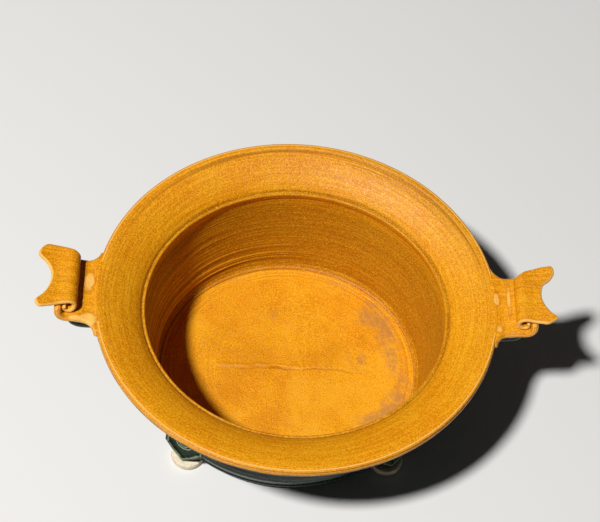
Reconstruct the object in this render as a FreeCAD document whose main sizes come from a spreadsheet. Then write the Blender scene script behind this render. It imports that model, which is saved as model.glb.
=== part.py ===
"""Oval stoneware casserole dish with a wide sloping rim, two scroll handles and four disc feet.

Frame: millimetres, +Z up, the handles point along +X and -X, and the origin is on the table under
the middle of the dish. The dish is put together as a potter does it: a floor slab, a thrown wall
ring pressed oval, a thrown rim, and hand-built handles and feet luted on. Each is its own solid,
and neighbours meet face to face.
"""
import FreeCAD, Part
import math
import os
import Sketcher

SIZES = [
    ("rim_length", 280.0, "rim, end to end along X"),
    ("rim_breadth", 264.0, "rim, side to side along Y"),
    ("rim_height", 113.0, "top of the rim above the table"),
    ("flange_width", 34.0, "rim's outer edge to the mouth of the well"),
    ("flange_drop", 14.0, "fall of the rim towards the well"),
    ("flange_thickness", 6.0, "clay thickness of the rim"),
    ("flange_break", 16.0, "where the rim turns steeper, in from the edge"),
    ("break_drop", 4.4, "fall of the rim as far as that break"),
    ("break_radius", 60.0, "roundness of the rim at the break"),
    ("edge_height", 7.5, "height of the rim's rolled outer edge"),
    ("edge_width", 5.2, "width of the rim's rolled outer edge"),
    ("edge_rounding", 1.8, "rounding of the rolled edge"),
    ("edge_groove", 1.4, "depth of the groove inside the rolled edge"),
    ("groove_slope", 1.0, "width of the groove's outer slope"),
    ("groove_rounding", 0.5, "rounding at the bottom of the groove"),
    ("edge_split", 1.0, "depth of the line round the middle of the rolled edge"),
    ("split_rounding", 0.2, "rounding at the bottom of that line"),
    ("collar_height", 5.0, "upright collar under the mouth that joins the wall"),
    ("collar_rounding", 3.0, "rounding where the rim's underside meets the collar"),
    ("mouth_rounding", 2.6, "rounding of the rim into the well"),
    ("seat_bead", 1.5, "how far the bead under the mouth stands into the well"),
    ("seat_height", 2.8, "height of that bead"),
    ("seat_gap", 0.3, "bead above the joint with the wall"),
    ("seat_slope", 0.4, "slant of the bead's upper and lower side"),
    ("seat_rounding", 0.6, "rounding of the bead"),
    ("wall_thickness", 6.5, "thrown wall"),
    ("wall_draft", 9.6, "how far the wall leans out from floor to collar"),
    ("belly_swell", 2.2, "swell of the wall's outside above the floor"),
    ("belly_height", 18.0, "height of that swell"),
    ("belly_round", 14.0, "roundness of the swell"),
    ("waist_round", 8.0, "roundness above the swell"),
    ("floor_thickness", 7.0, "floor slab"),
    ("floor_rounding", 3.5, "rounding of the slab's lower edge"),
    ("foot_height", 6.0, "disc feet"),
    ("foot_radius", 12.5, "disc feet"),
    ("foot_rounding", 1.2, "rounding of the foot's lower edge"),
    ("foot_angle", 46.0, "degrees round the oval from the X axis to a foot"),
    ("shield_width", 32.0, "glazed shield over each foot"),
    ("shield_height", 35.0, "shield, from its point to its round top"),
    ("shield_stand", 9.5, "shield's point, out from the foot's middle"),
    ("shield_lean", 6.5, "how far the shield's face leans back over its height"),
    ("shield_turn", 15.0, "degrees that the shield turns from the wall towards the Y axis"),
    ("shield_bite", 7.0, "clay behind the foot's middle, before the shield is cut to fit the wall"),
    ("shield_bury", 0.6, "shield's point, down into the disc foot, before it is cut to fit"),
    ("shield_point_round", 2.0, "rounding of the shield's point"),
    ("shield_flank_round", 9.0, "rounding where the shield narrows to its point"),
    ("spiral_radius", 8.5, "outer turn of the raised spiral on the shield"),
    ("spiral_turns", 3.0, "turns of the spiral"),
    ("spiral_line", 0.8, "radius of the spiral's raised line"),
    ("spiral_up", 22.0, "middle of the spiral above the shield's point"),
    ("strap_width", 50.0, "handle strap, along Y"),
    ("strap_thickness", 5.0, "handle strap"),
    ("strap_reach", 24.5, "strap, out from the rim's end"),
    ("strap_root", 8.0, "how far the strap is luted in over the rim"),
    ("strap_lip", 0.6, "strap's inner end below the top of the rim"),
    ("strap_sink", 2.5, "strap's underside below the top of the rim"),
    ("strap_turn", 9.0, "outer radius of the strap's turned-up end"),
    ("strap_root_fall", 2.0, "fall of the strap's underside at its root"),
    ("strap_ease", 8.0, "roundness of the strap's upper side where it leaves the rim"),
    ("strap_ease_inset", 1.0, "that roundness, in from the rim's end"),
    ("strap_rounding", 1.2, "rounding of the strap's turned-up end"),
    ("scroll_width", 44.0, "rolled sheet that lies in the strap, at its roll"),
    ("scroll_thickness", 3.5, "rolled sheet"),
    ("scroll_roll", 12.5, "height of the roll"),
    ("scroll_start", 9.0, "roll, out from the rim's end"),
    ("scroll_tuck", 8.5, "length of the sheet tucked under the roll"),
    ("horn_width", 50.0, "sheet across its two horns"),
    ("horn_reach", 37.5, "horn tips, out from the rim's end"),
    ("horn_rise", 5.0, "horn tips above the roll"),
    ("horn_bend", 22.0, "where the sheet starts to rise, out from the rim's end"),
    ("horn_cut", 5.0, "slanting cut across the outer corner of each horn"),
    ("notch_radius", 17.0, "round notch between the horns"),
    ("notch_depth", 11.0, "depth of that notch"),
    ("roll_flat", 0.2, "flat left between the roll's two roundings"),
    ("tuck_rounding", 1.0, "rounding of the tucked end"),
    ("horn_rounding", 1.2, "rounding of the horns' ends"),
    ("horn_curve", 15.0, "roundness of the sheet where it starts to rise"),
    ("lug_width", 45.0, "lug under the strap, along Y"),
    ("lug_reach", 20.0, "lug, out from the rim's end"),
    ("lug_nose", 4.0, "height of the lug's outer end"),
    ("lug_depth", 17.0, "lug's lowest point below the strap"),
    ("lug_inset", 15.0, "how far the lug runs in under the rim"),
    ("lug_rounding", 3.0, "rounding of the lug's lower edges"),
    ("lug_nose_round", 2.5, "rounding of the lug's outer end"),
    ("lug_belly_round", 9.0, "rounding of the lug's underside"),
    ("lug_heel_round", 6.0, "rounding of the lug where it turns in under the rim"),
    ("lug_heel", 2.0, "that turn, in from the rim's end"),
]

# How far a cutting outline runs past the piece that it cuts.
CLEAR = 3.0
# Shares of the shield: where it starts to narrow, up from its point, and how round its top is.
SHIELD_WAIST = 0.26
SHIELD_CROWN = 0.98
# Clear middle of the spiral, in radii of its line.
SPIRAL_EYE = 1.5
# A length that counts as nothing when faces and edges are picked out.
SMALL = 0.01


class Length:
    """A number together with the spreadsheet expression that gives it."""

    def __init__(self, number, text):
        self.number = number
        self.text = text

    def combined(self, other, sign, number):
        text = other.text if isinstance(other, Length) else repr(float(other))
        return Length(number, f"({self.text} {sign} {text})")

    def __add__(self, other):
        return self.combined(other, "+", self.number + plain(other))

    def __sub__(self, other):
        return self.combined(other, "-", self.number - plain(other))

    def __mul__(self, other):
        return self.combined(other, "*", self.number * plain(other))

    def __truediv__(self, other):
        return self.combined(other, "/", self.number / plain(other))

    def __neg__(self):
        return Length(-self.number, f"(-1 * {self.text})")


def plain(value):
    """The number of a Length, or the number itself."""
    return value.number if isinstance(value, Length) else float(value)


class Sizes:
    """The sheet's cells as Lengths, one attribute for each alias."""

    def __init__(self, doc):
        sheet = doc.addObject("Spreadsheet::Sheet", "Sizes")
        for row, (alias, number, note) in enumerate(SIZES, start=1):
            sheet.set(f"A{row}", note)
            sheet.set(f"B{row}", str(number))
            sheet.setAlias(f"B{row}", alias)
            setattr(self, alias, Length(number, f"Sizes.{alias}"))
        self.half_length = self.rim_length / 2
        # The base oval is the outline of the floor. Wall and rim are swept along it.
        inset = self.flange_width + self.wall_draft - self.wall_thickness
        self.base_half_length = self.half_length - inset
        self.base_half_breadth = self.rim_breadth / 2 - inset
        self.slab_top = self.foot_height + self.floor_thickness
        self.mouth_height = self.rim_height - self.flange_drop
        self.wall_top = self.mouth_height - self.collar_height
        # Places along X on the swept profiles.
        self.mouth = self.half_length - self.flange_width
        self.wall_outside = self.mouth + self.wall_thickness
        # Heights of the handle's layers.
        self.strap_under = self.rim_height - self.strap_sink
        self.strap_over = self.strap_under + self.strap_thickness
        self.sheet_over = self.strap_over + self.scroll_roll
        self.sheet_under = self.sheet_over - self.scroll_thickness


def bind(feature, prop, length):
    feature.setExpression(prop, length.text)


def origin_plane(body, role):
    return next(f for f in body.Origin.OriginFeatures if f.Role == role)


def new_sketch(body, name, role, lift=None):
    """A sketch on one of the body's own origin planes, lifted off it along its normal."""
    sketch = body.newObject("Sketcher::SketchObject", name)
    sketch.AttachmentSupport = [(origin_plane(body, role), "")]
    sketch.MapMode = "FlatFace"
    if lift is not None:
        bind(sketch, "AttachmentOffset.Base.z", lift)
    return sketch


def constrain(sketch, rules):
    """Adds all the rules in one go. Each is (kind, where) or (kind, where, length)."""
    first = sketch.ConstraintCount
    sketch.addConstraint([Sketcher.Constraint(rule[0], *rule[1], *map(plain, rule[2:]))
                          for rule in rules])
    for number, rule in enumerate(rules, start=first):
        if isinstance(rule[-1], Length):
            bind(sketch, f"Constraints[{number}]", rule[-1])


def at(geometry, point, across, up):
    """Rules that fix a sketch point at a place given by two lengths."""
    return [("DistanceX", (-1, 1, geometry, point), across),
            ("DistanceY", (-1, 1, geometry, point), up)]


def oval_sketch(body, name, half_length, half_breadth, lift=None):
    """An ellipse about the origin, its long axis along X."""
    sketch = new_sketch(body, name, "XY_Plane", lift)
    along = FreeCAD.Vector(plain(half_length), 0, 0)
    across = FreeCAD.Vector(0, plain(half_breadth), 0)
    oval = sketch.addGeometry(Part.Ellipse(along, across, FreeCAD.Vector(0, 0, 0)))
    sketch.exposeInternalGeometry(oval)
    long_axis, short_axis = oval + 1, oval + 2
    constrain(sketch, [("Coincident", (oval, 3, -1, 1)),
                       ("Horizontal", (long_axis,)),
                       ("Distance", (long_axis,), half_length * 2),
                       ("Distance", (short_axis,), half_breadth * 2)])
    return sketch


def round_sketch(body, name, middle, radius):
    """A circle on the X axis of the body."""
    sketch = new_sketch(body, name, "XY_Plane")
    centre = FreeCAD.Vector(plain(middle), 0, 0)
    circle = sketch.addGeometry(Part.Circle(centre, FreeCAD.Vector(0, 0, 1), plain(radius)))
    constrain(sketch, [("Radius", (circle,), radius)])
    if plain(middle) == 0:
        constrain(sketch, [("Coincident", (circle, 3, -1, 1))])
    else:
        constrain(sketch, [("PointOnObject", (circle, 3, -1)),
                           ("DistanceX", (-1, 1, circle, 3), middle)])
    return sketch


def rounded_sketch(body, name, role, corners, lift=None):
    """A closed outline of straight sides. Each corner is (across, up) or (across, up, radius)."""
    sketch = new_sketch(body, name, role, lift)
    places = [FreeCAD.Vector(plain(corner[0]), plain(corner[1]), 0) for corner in corners]
    count = len(corners)
    rounded = [i for i in range(count) if len(corners[i]) > 2]
    starts, finishes, arcs = list(places), list(places), []
    for i in rounded:
        here, radius = places[i], plain(corners[i][2])
        before = (places[i - 1] - here).normalize()
        after = (places[(i + 1) % count] - here).normalize()
        half_angle = before.getAngle(after) / 2
        inward = (before + after).normalize()
        middle = here + inward * (radius / math.sin(half_angle) - radius)
        starts[i] = here + before * (radius / math.tan(half_angle))
        finishes[i] = here + after * (radius / math.tan(half_angle))
        arcs.append(Part.Arc(starts[i], middle, finishes[i]))
    sides = [Part.LineSegment(finishes[i], starts[(i + 1) % count]) for i in range(count)]
    sketch.addGeometry(sides + arcs, False)
    sketch.addGeometry([Part.Point(places[i]) for i in rounded], True)
    rules = []
    for i in range(count):
        incoming, outgoing = (i - 1) % count, i
        if i not in rounded:
            rules.append(("Coincident", (incoming, 2, outgoing, 1)))
            rules += at(outgoing, 1, corners[i][0], corners[i][1])
            continue
        arc = count + rounded.index(i)
        corner = arc + len(rounded)
        first, last = 1, 2
        if (sketch.getPoint(arc, first) - starts[i]).Length > 1e-6:
            first, last = 2, 1
        rules += [("Tangent", (incoming, 2, arc, first)),
                  ("Tangent", (outgoing, 1, arc, last)),
                  ("Radius", (arc,), corners[i][2]),
                  ("PointOnObject", (corner, 1, incoming)),
                  ("PointOnObject", (corner, 1, outgoing))]
        rules += at(corner, 1, corners[i][0], corners[i][1])
    constrain(sketch, rules)
    return sketch


def new_body(doc, label):
    body = doc.addObject("PartDesign::Body", label)
    body.Label = label
    return body


def swept_ring(doc, label, corners):
    """A solid with the given profile in the XZ plane, swept round the base oval."""
    sizes = doc.sizes
    body = new_body(doc.file, label)
    path = oval_sketch(body, label + "_path", sizes.base_half_length, sizes.base_half_breadth)
    profile = rounded_sketch(body, label + "_profile", "XZ_Plane", corners)
    doc.file.recompute()
    ring = body.newObject("PartDesign::AdditivePipe", label + "_sweep")
    ring.Profile = (profile, [""])
    ring.Spine = (path, [""])
    ring.Mode = "Frenet"
    body.Tip = ring
    return body


def padded(body, sketch, name, length, midplane=False, reverse=False):
    pad = body.newObject("PartDesign::Pad", name)
    pad.Profile = sketch
    bind(pad, "Length", length)
    pad.Midplane = midplane
    pad.Reversed = reverse
    body.Tip = pad
    return pad


def pocketed(body, sketch, name, both_ways=False, reverse=False):
    pocket = body.newObject("PartDesign::Pocket", name)
    pocket.Profile = sketch
    pocket.Type = "ThroughAll"
    pocket.Midplane = both_ways
    pocket.Reversed = reverse
    body.Tip = pocket
    return pocket


def filleted(body, name, base, edges, radius):
    fillet = body.newObject("PartDesign::Fillet", name)
    fillet.Base = (base, edges)
    bind(fillet, "Radius", radius)
    body.Tip = fillet
    return fillet


def edges_where(shape, test):
    """Names of the edges whose middle passes the test."""
    names = []
    for number, edge in enumerate(shape.Edges, start=1):
        middle = edge.valueAt((edge.FirstParameter + edge.LastParameter) / 2)
        if test(edge, middle):
            names.append(f"Edge{number}")
    return names


def trimmed(doc, label, piece, *tools):
    """The piece less each of the tools, so that it meets them face to face."""
    for number, tool in enumerate(tools, start=1):
        cut = doc.file.addObject("Part::Cut", f"{label}_trim_{number}")
        cut.Base = piece
        cut.Tool = tool
        cut.Refine = True
        piece = cut
    piece.Label = label
    return piece


def floor_slab(doc):
    sizes = doc.sizes
    body = new_body(doc.file, "floor_slab")
    outline = oval_sketch(body, "floor_outline", sizes.base_half_length, sizes.base_half_breadth,
                          sizes.foot_height)
    slab = padded(body, outline, "floor_pad", sizes.floor_thickness)
    doc.file.recompute()
    low = plain(sizes.foot_height) + SMALL
    lower_edge = edges_where(slab.Shape, lambda edge, middle: edge.BoundBox.ZMax < low)
    filleted(body, "floor_rounding", slab, lower_edge, sizes.floor_rounding)
    return body


def wall_ring(doc):
    sizes = doc.sizes
    outside = sizes.base_half_length
    lean = sizes.wall_draft * sizes.belly_height / (sizes.wall_top - sizes.slab_top)
    return swept_ring(doc, "wall_ring", [
        (outside - sizes.wall_thickness, sizes.slab_top),
        (outside, sizes.slab_top),
        (outside + sizes.belly_swell + lean / 2, sizes.slab_top + sizes.belly_height / 2,
         sizes.belly_round),
        (outside + lean, sizes.slab_top + sizes.belly_height, sizes.waist_round),
        (sizes.wall_outside, sizes.wall_top),
        (sizes.mouth, sizes.wall_top),
    ])


def rim_flange(doc):
    """The sloping rim: mouth and bead inside, a rolled and grooved edge outside."""
    sizes = doc.sizes
    edge = sizes.half_length
    top = sizes.rim_height
    under = top - sizes.edge_height
    split = top - sizes.edge_height / 2
    half_split = sizes.edge_split / 2
    fall = sizes.break_drop
    soft = sizes.edge_rounding / 2
    slope = (sizes.flange_drop - fall) / (sizes.flange_width - sizes.flange_break)
    bead_low = sizes.wall_top + sizes.seat_gap
    bead_high = bead_low + sizes.seat_height
    bead = sizes.mouth - sizes.seat_bead
    under_mouth = sizes.mouth_height - sizes.flange_thickness + slope * sizes.wall_thickness
    return swept_ring(doc, "rim_flange", [
        (sizes.mouth, sizes.wall_top),
        (sizes.mouth, bead_low),
        (bead, bead_low + sizes.seat_slope, sizes.seat_rounding),
        (bead, bead_high - sizes.seat_slope, sizes.seat_rounding),
        (sizes.mouth, bead_high),
        (sizes.mouth, sizes.mouth_height, sizes.mouth_rounding),
        (edge - sizes.flange_break, top - fall, sizes.break_radius),
        (edge - sizes.edge_width, top - sizes.edge_groove, sizes.groove_rounding),
        (edge - sizes.edge_width + sizes.groove_slope, top, soft),
        (edge, top, sizes.edge_rounding),
        (edge, split + half_split, soft),
        (edge - sizes.edge_split, split, sizes.split_rounding),
        (edge, split - half_split, soft),
        (edge, under, sizes.edge_rounding),
        (edge - sizes.edge_width, under, soft),
        (edge - sizes.flange_break, top - fall - sizes.flange_thickness, sizes.break_radius),
        (sizes.wall_outside, under_mouth, sizes.collar_rounding),
        (sizes.wall_outside, sizes.wall_top),
    ])


def handle_strap(doc, side, turn, rim):
    """A strap luted over the rim's end, level with the rim, whose outer end turns up."""
    sizes = doc.sizes
    body = new_body(doc.file, f"strap_blank_{side}")
    outer = sizes.half_length + sizes.strap_reach
    inner = outer - sizes.strap_thickness
    root = sizes.half_length - sizes.strap_root
    profile = rounded_sketch(body, f"strap_profile_{side}", "XZ_Plane", [
        (root, sizes.strap_under - sizes.strap_root_fall),
        (sizes.half_length - sizes.edge_width / 2, sizes.strap_under),
        (outer, sizes.strap_under, sizes.strap_turn),
        (outer, sizes.sheet_under, sizes.strap_rounding),
        (inner, sizes.sheet_under, sizes.strap_rounding),
        (inner, sizes.strap_over, sizes.strap_turn - sizes.strap_thickness),
        (sizes.half_length - sizes.strap_ease_inset, sizes.strap_over, sizes.strap_ease),
        (root, sizes.rim_height - sizes.strap_lip),
    ])
    padded(body, profile, f"strap_pad_{side}", sizes.strap_width, midplane=True)
    body.Placement = turn
    return trimmed(doc, f"handle_strap_{side}", body, rim)


def handle_scroll(doc, side, turn):
    """A sheet rolled under at its inner end, with two horns and a round notch at its outer end."""
    sizes = doc.sizes
    label = f"handle_scroll_{side}"
    body = new_body(doc.file, label)
    end = sizes.half_length
    start = end + sizes.scroll_start
    tuck = start + sizes.scroll_tuck
    tip = end + sizes.horn_reach
    bend = end + sizes.horn_bend
    over, under = sizes.sheet_over, sizes.sheet_under
    low = sizes.strap_over
    roll_radius = sizes.scroll_roll / 2 - sizes.roll_flat
    hollow_radius = roll_radius - sizes.scroll_thickness
    profile = rounded_sketch(body, f"scroll_profile_{side}", "XZ_Plane", [
        (tip, over + sizes.horn_rise, sizes.horn_rounding),
        (bend, over, sizes.horn_curve),
        (start, over, roll_radius),
        (start, low, roll_radius),
        (tuck, low, sizes.tuck_rounding),
        (tuck, low + sizes.scroll_thickness, sizes.tuck_rounding),
        (start + sizes.scroll_thickness, low + sizes.scroll_thickness, hollow_radius),
        (start + sizes.scroll_thickness, under, hollow_radius),
        (bend, under, sizes.horn_curve),
        (tip, under + sizes.horn_rise, sizes.horn_rounding),
    ])
    padded(body, profile, f"scroll_pad_{side}", sizes.horn_width, midplane=True)
    beyond = tip + CLEAR
    for flank, sign in (("back", 1), ("front", -1)):
        near, far = sizes.scroll_width / 2 * sign, sizes.horn_width / 2 * sign
        wide = far + CLEAR * sign
        wedge = rounded_sketch(body, f"scroll_{flank}_{side}", "XY_Plane", [
            (start - CLEAR, near),
            (tip - sizes.horn_cut, far),
            (beyond, far - (sizes.horn_cut + CLEAR) * sign),
            (beyond, wide),
            (start - CLEAR, wide),
        ])
        pocketed(body, wedge, f"scroll_{flank}_cut_{side}", reverse=True)
    middle = tip - sizes.notch_depth + sizes.notch_radius
    notch = round_sketch(body, f"scroll_notch_{side}", middle, sizes.notch_radius)
    pocketed(body, notch, f"scroll_notch_cut_{side}", reverse=True)
    body.Placement = turn
    return body


def handle_lug(doc, side, turn, rim):
    """A rounded lug that carries the strap from under the rim."""
    sizes = doc.sizes
    body = new_body(doc.file, f"lug_blank_{side}")
    end = sizes.half_length
    under = sizes.strap_under
    low = under - sizes.lug_depth
    in_edge = sizes.rim_height - sizes.edge_height / 2
    fall = sizes.lug_inset * sizes.flange_drop / sizes.flange_width
    profile = rounded_sketch(body, f"lug_profile_{side}", "XZ_Plane", [
        (end, in_edge),
        (end, under),
        (end + sizes.lug_reach, under),
        (end + sizes.lug_reach, under - sizes.lug_nose, sizes.lug_nose_round),
        (end + sizes.lug_reach / 2, low, sizes.lug_belly_round),
        (end - sizes.lug_heel, low, sizes.lug_heel_round),
        (end - sizes.lug_inset, in_edge - fall),
    ])
    pad = padded(body, profile, f"lug_pad_{side}", sizes.lug_width, midplane=True)
    doc.file.recompute()
    flank = plain(sizes.lug_width) / 2 - SMALL
    high = plain(under) - SMALL

    def lower_side(edge, middle):
        on_flank = edge.BoundBox.YMin > flank or edge.BoundBox.YMax < -flank
        return on_flank and middle.z < high and middle.x > plain(end) + SMALL

    filleted(body, f"lug_rounding_{side}", pad, edges_where(pad.Shape, lower_side),
             sizes.lug_rounding)
    body.Placement = turn
    return trimmed(doc, f"handle_lug_{side}", body, rim)


def well_plug(doc):
    """The well just above the floor, as a solid that only cuts other pieces."""
    sizes = doc.sizes
    body = new_body(doc.file, "well_plug")
    inset = sizes.wall_thickness / 4
    outline = oval_sketch(body, "plug_outline", sizes.base_half_length - inset,
                          sizes.base_half_breadth - inset, sizes.foot_height)
    padded(body, outline, "plug_pad", sizes.shield_height)
    return body


def foot_place(doc, quadrant, turn=0.0):
    """Where a foot stands: its middle on the base oval, its own -Y axis pointing outwards.

    turn swings that axis by some degrees towards the dish's Y axis."""
    sizes = doc.sizes
    quarter = math.radians(plain(sizes.foot_angle))
    angle = {"back_right": quarter, "back_left": math.pi - quarter,
             "front_left": math.pi + quarter, "front_right": -quarter}[quadrant]
    along, across = plain(sizes.base_half_length), plain(sizes.base_half_breadth)
    middle = FreeCAD.Vector(along * math.cos(angle), across * math.sin(angle), 0)
    outward = math.degrees(math.atan2(along * math.sin(angle), across * math.cos(angle)))
    outward += turn if quadrant in ("front_left", "back_right") else -turn
    return FreeCAD.Placement(middle, FreeCAD.Rotation(FreeCAD.Vector(0, 0, 1), outward + 90))


def foot_disc(doc, quadrant, place):
    sizes = doc.sizes
    body = new_body(doc.file, f"foot_disc_{quadrant}")
    sketch = round_sketch(body, f"disc_outline_{quadrant}", 0.0, sizes.foot_radius)
    disc = padded(body, sketch, f"disc_pad_{quadrant}", sizes.foot_height)
    doc.file.recompute()
    lower_edge = edges_where(disc.Shape, lambda edge, middle: edge.BoundBox.ZMax < SMALL)
    filleted(body, f"disc_rounding_{quadrant}", disc, lower_edge, sizes.foot_rounding)
    body.Placement = place
    return body


def foot_shield(doc, quadrant, place, neighbours):
    """A shield of clay that stands on the foot's disc and leans back on the wall."""
    sizes = doc.sizes
    body = new_body(doc.file, f"shield_blank_{quadrant}")
    half = sizes.shield_width / 2
    point = sizes.foot_height
    top = point + sizes.shield_height
    buried = point - sizes.shield_bury
    waist = point + sizes.shield_height * SHIELD_WAIST
    outline = rounded_sketch(body, f"shield_outline_{quadrant}", "XZ_Plane", [
        (Length(0.0, "0"), buried, sizes.shield_point_round),
        (half, waist, sizes.shield_flank_round),
        (half, top, half * SHIELD_CROWN),
        (-half, top, half * SHIELD_CROWN),
        (-half, waist, sizes.shield_flank_round),
    ], -sizes.shield_bite)
    padded(body, outline, f"shield_pad_{quadrant}", sizes.shield_stand + sizes.shield_bite)
    lean = rounded_sketch(body, f"shield_face_{quadrant}", "YZ_Plane", [
        (-sizes.shield_stand, buried),
        (-sizes.shield_stand + sizes.shield_lean, top + SMALL),
        (-sizes.shield_stand - CLEAR, top + SMALL),
        (-sizes.shield_stand - CLEAR, buried),
    ])
    pocketed(body, lean, f"shield_lean_{quadrant}", both_ways=True)
    body.Placement = place
    return trimmed(doc, f"foot_shield_{quadrant}", body, *neighbours)


def spiral_trail(doc, quadrant, place, shield):
    """A raised spiral line on the shield's face."""
    sizes = doc.sizes
    growth = plain(sizes.spiral_radius) / plain(sizes.spiral_turns)
    spiral = doc.file.addObject("Part::Spiral", f"spiral_{quadrant}")
    start = plain(sizes.spiral_line) * SPIRAL_EYE
    spiral.setExpression("Growth", f"({sizes.spiral_radius.text} - {start}) / {sizes.spiral_turns.text}")
    spiral.Radius = start
    bind(spiral, "Rotations", sizes.spiral_turns)
    spiral.SegmentLength = 1.0
    circle = doc.file.addObject("Part::Circle", f"spiral_line_{quadrant}")
    bind(circle, "Radius", sizes.spiral_line)
    tilt = math.degrees(math.atan2(plain(sizes.shield_lean), plain(sizes.shield_height)))
    rise = plain(sizes.spiral_up)
    out = -plain(sizes.shield_stand) + plain(sizes.shield_lean) * rise / plain(sizes.shield_height)
    on_face = FreeCAD.Placement(FreeCAD.Vector(0, out, plain(sizes.foot_height) + rise),
                                FreeCAD.Rotation(FreeCAD.Vector(1, 0, 0), 90 - tilt))
    spiral.Placement = place * on_face
    circle.Placement = place * on_face * FreeCAD.Placement(
        FreeCAD.Vector(start, 0, 0), FreeCAD.Rotation(FreeCAD.Vector(1, 0, 0), 90))
    sweep = doc.file.addObject("Part::Sweep", f"spiral_sweep_{quadrant}")
    sweep.Sections = [circle]
    sweep.Spine = (spiral, [])
    sweep.Solid = True
    sweep.Frenet = True
    return trimmed(doc, f"spiral_trail_{quadrant}", sweep, shield)


class Document:
    def __init__(self, name):
        self.file = FreeCAD.newDocument(name)
        self.sizes = Sizes(self.file)


def build():
    doc = Document("casserole")
    doc.file.recompute()
    slab, wall, rim = floor_slab(doc), wall_ring(doc), rim_flange(doc)
    parts = [slab, wall, rim]
    for side, angle in (("right", 0), ("left", 180)):
        turn = FreeCAD.Placement(FreeCAD.Vector(), FreeCAD.Rotation(FreeCAD.Vector(0, 0, 1), angle))
        parts.append(handle_strap(doc, side, turn, rim))
        parts.append(handle_scroll(doc, side, turn))
        parts.append(handle_lug(doc, side, turn, rim))
    plug = well_plug(doc)
    for quadrant in ("front_left", "front_right", "back_left", "back_right"):
        disc = foot_disc(doc, quadrant, foot_place(doc, quadrant))
        place = foot_place(doc, quadrant, plain(doc.sizes.shield_turn))
        shield = foot_shield(doc, quadrant, place, (wall, slab, disc, plug))
        parts += [disc, shield, spiral_trail(doc, quadrant, place, shield)]
    doc.file.recompute()
    return doc, parts


def checked(doc, parts):
    """Stops with a message if any object failed, or if any sub-part isn't one valid solid."""
    for item in doc.file.Objects:
        if {"Invalid", "Error"} & set(item.State):
            raise RuntimeError(f"{item.Label} failed: {item.State}")
    for part in parts:
        shape = part.Shape
        if shape.isNull() or not shape.isValid() or len(shape.Solids) != 1 or shape.Volume <= 0:
            raise RuntimeError(f"{part.Label}: {len(shape.Solids)} solids, valid {shape.isValid()}")


def main():
    doc, parts = build()
    checked(doc, parts)
    os.makedirs("parts", exist_ok=True)
    for part in parts:
        part.Shape.exportStep(os.path.join("parts", part.Label + ".step"))
        print(f"{part.Label:28s} {part.Shape.Volume / 1000:8.2f} cm3")


if __name__ == "__main__":
    main()
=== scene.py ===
import math

import bmesh
import bpy
from mathutils import Matrix, Vector, noise


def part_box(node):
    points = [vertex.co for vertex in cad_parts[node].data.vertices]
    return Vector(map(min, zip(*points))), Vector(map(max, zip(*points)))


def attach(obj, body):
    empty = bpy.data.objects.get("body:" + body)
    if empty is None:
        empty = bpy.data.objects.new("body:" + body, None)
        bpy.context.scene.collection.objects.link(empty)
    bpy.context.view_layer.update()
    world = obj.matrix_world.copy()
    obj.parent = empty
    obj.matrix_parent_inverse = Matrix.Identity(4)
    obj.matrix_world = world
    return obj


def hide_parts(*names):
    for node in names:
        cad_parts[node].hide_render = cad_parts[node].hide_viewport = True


bl_info = {
    "name": "Oval Casserole Dish",
    "version": (1, 0, 0),
    "blender": (4, 5, 0),
    "location": "3D View > Sidebar > Casserole",
    "description": "Clay, glaze and stage for an oval stoneware casserole with scroll handles",
    "category": "Mesh",
}

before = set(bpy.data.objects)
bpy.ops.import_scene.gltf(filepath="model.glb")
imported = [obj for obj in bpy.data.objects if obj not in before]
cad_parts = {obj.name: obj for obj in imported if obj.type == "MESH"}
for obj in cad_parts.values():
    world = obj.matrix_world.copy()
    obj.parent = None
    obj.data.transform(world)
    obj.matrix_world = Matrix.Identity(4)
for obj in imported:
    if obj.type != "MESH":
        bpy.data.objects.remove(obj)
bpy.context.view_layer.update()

MM = 0.001
BODY = "root"
SIDES = ("right", "left")
CORNERS = ("front_left", "front_right", "back_left", "back_right")

RIM_LOW, RIM_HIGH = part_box("rim_flange")
WALL_LOW, WALL_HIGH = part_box("wall_ring")
SLAB_LOW, SLAB_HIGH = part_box("floor_slab")
STRAP_LOW, STRAP_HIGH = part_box("handle_strap_right")
SCROLL_LOW, SCROLL_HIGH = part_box("handle_scroll_right")
LUG_LOW, LUG_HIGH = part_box("handle_lug_right")


# ---------------------------------------------------------------- sizes and colours

def length(name, default, description):
    return bpy.props.FloatProperty(name=name, description=description, default=default,
                                   min=0.0, unit="LENGTH", precision=4)


def count(name, default, description):
    return bpy.props.IntProperty(name=name, description=description, default=default, min=3)


def colour(name, default, description):
    return bpy.props.FloatVectorProperty(name=name, description=description, default=default,
                                         size=3, subtype="COLOR", min=0.0, max=1.0)


class DishSizes(bpy.types.PropertyGroup):
    """Sizes of the thrown body: rim, wall and floor"""
    flange_width: length("Flange width", 0.034, "Outer edge of the rim to the mouth of the well")
    edge_height: length("Edge height", 0.0066, "Height of the rolled outer edge")
    wall_thickness: length("Wall thickness", 0.0065, "Clay thickness of the wall")
    ring_pitch: length("Throwing ring pitch", 0.0017, "Usual distance between throwing rings")
    ring_depth: length("Throwing ring depth", 0.00048, "Height of the throwing rings inside")
    steps_round: count("Steps round", 288, "Faces round the oval")


class HandleSizes(bpy.types.PropertyGroup):
    """Sizes of the handles at both ends"""
    strap_thickness: length("Strap thickness", 0.005, "Clay thickness of the strap")
    sheet_thickness: length("Sheet thickness", 0.0035, "Clay thickness of the rolled sheet")
    roll_height: length("Roll height", 0.0125, "Height of the rolled sheet")


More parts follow.
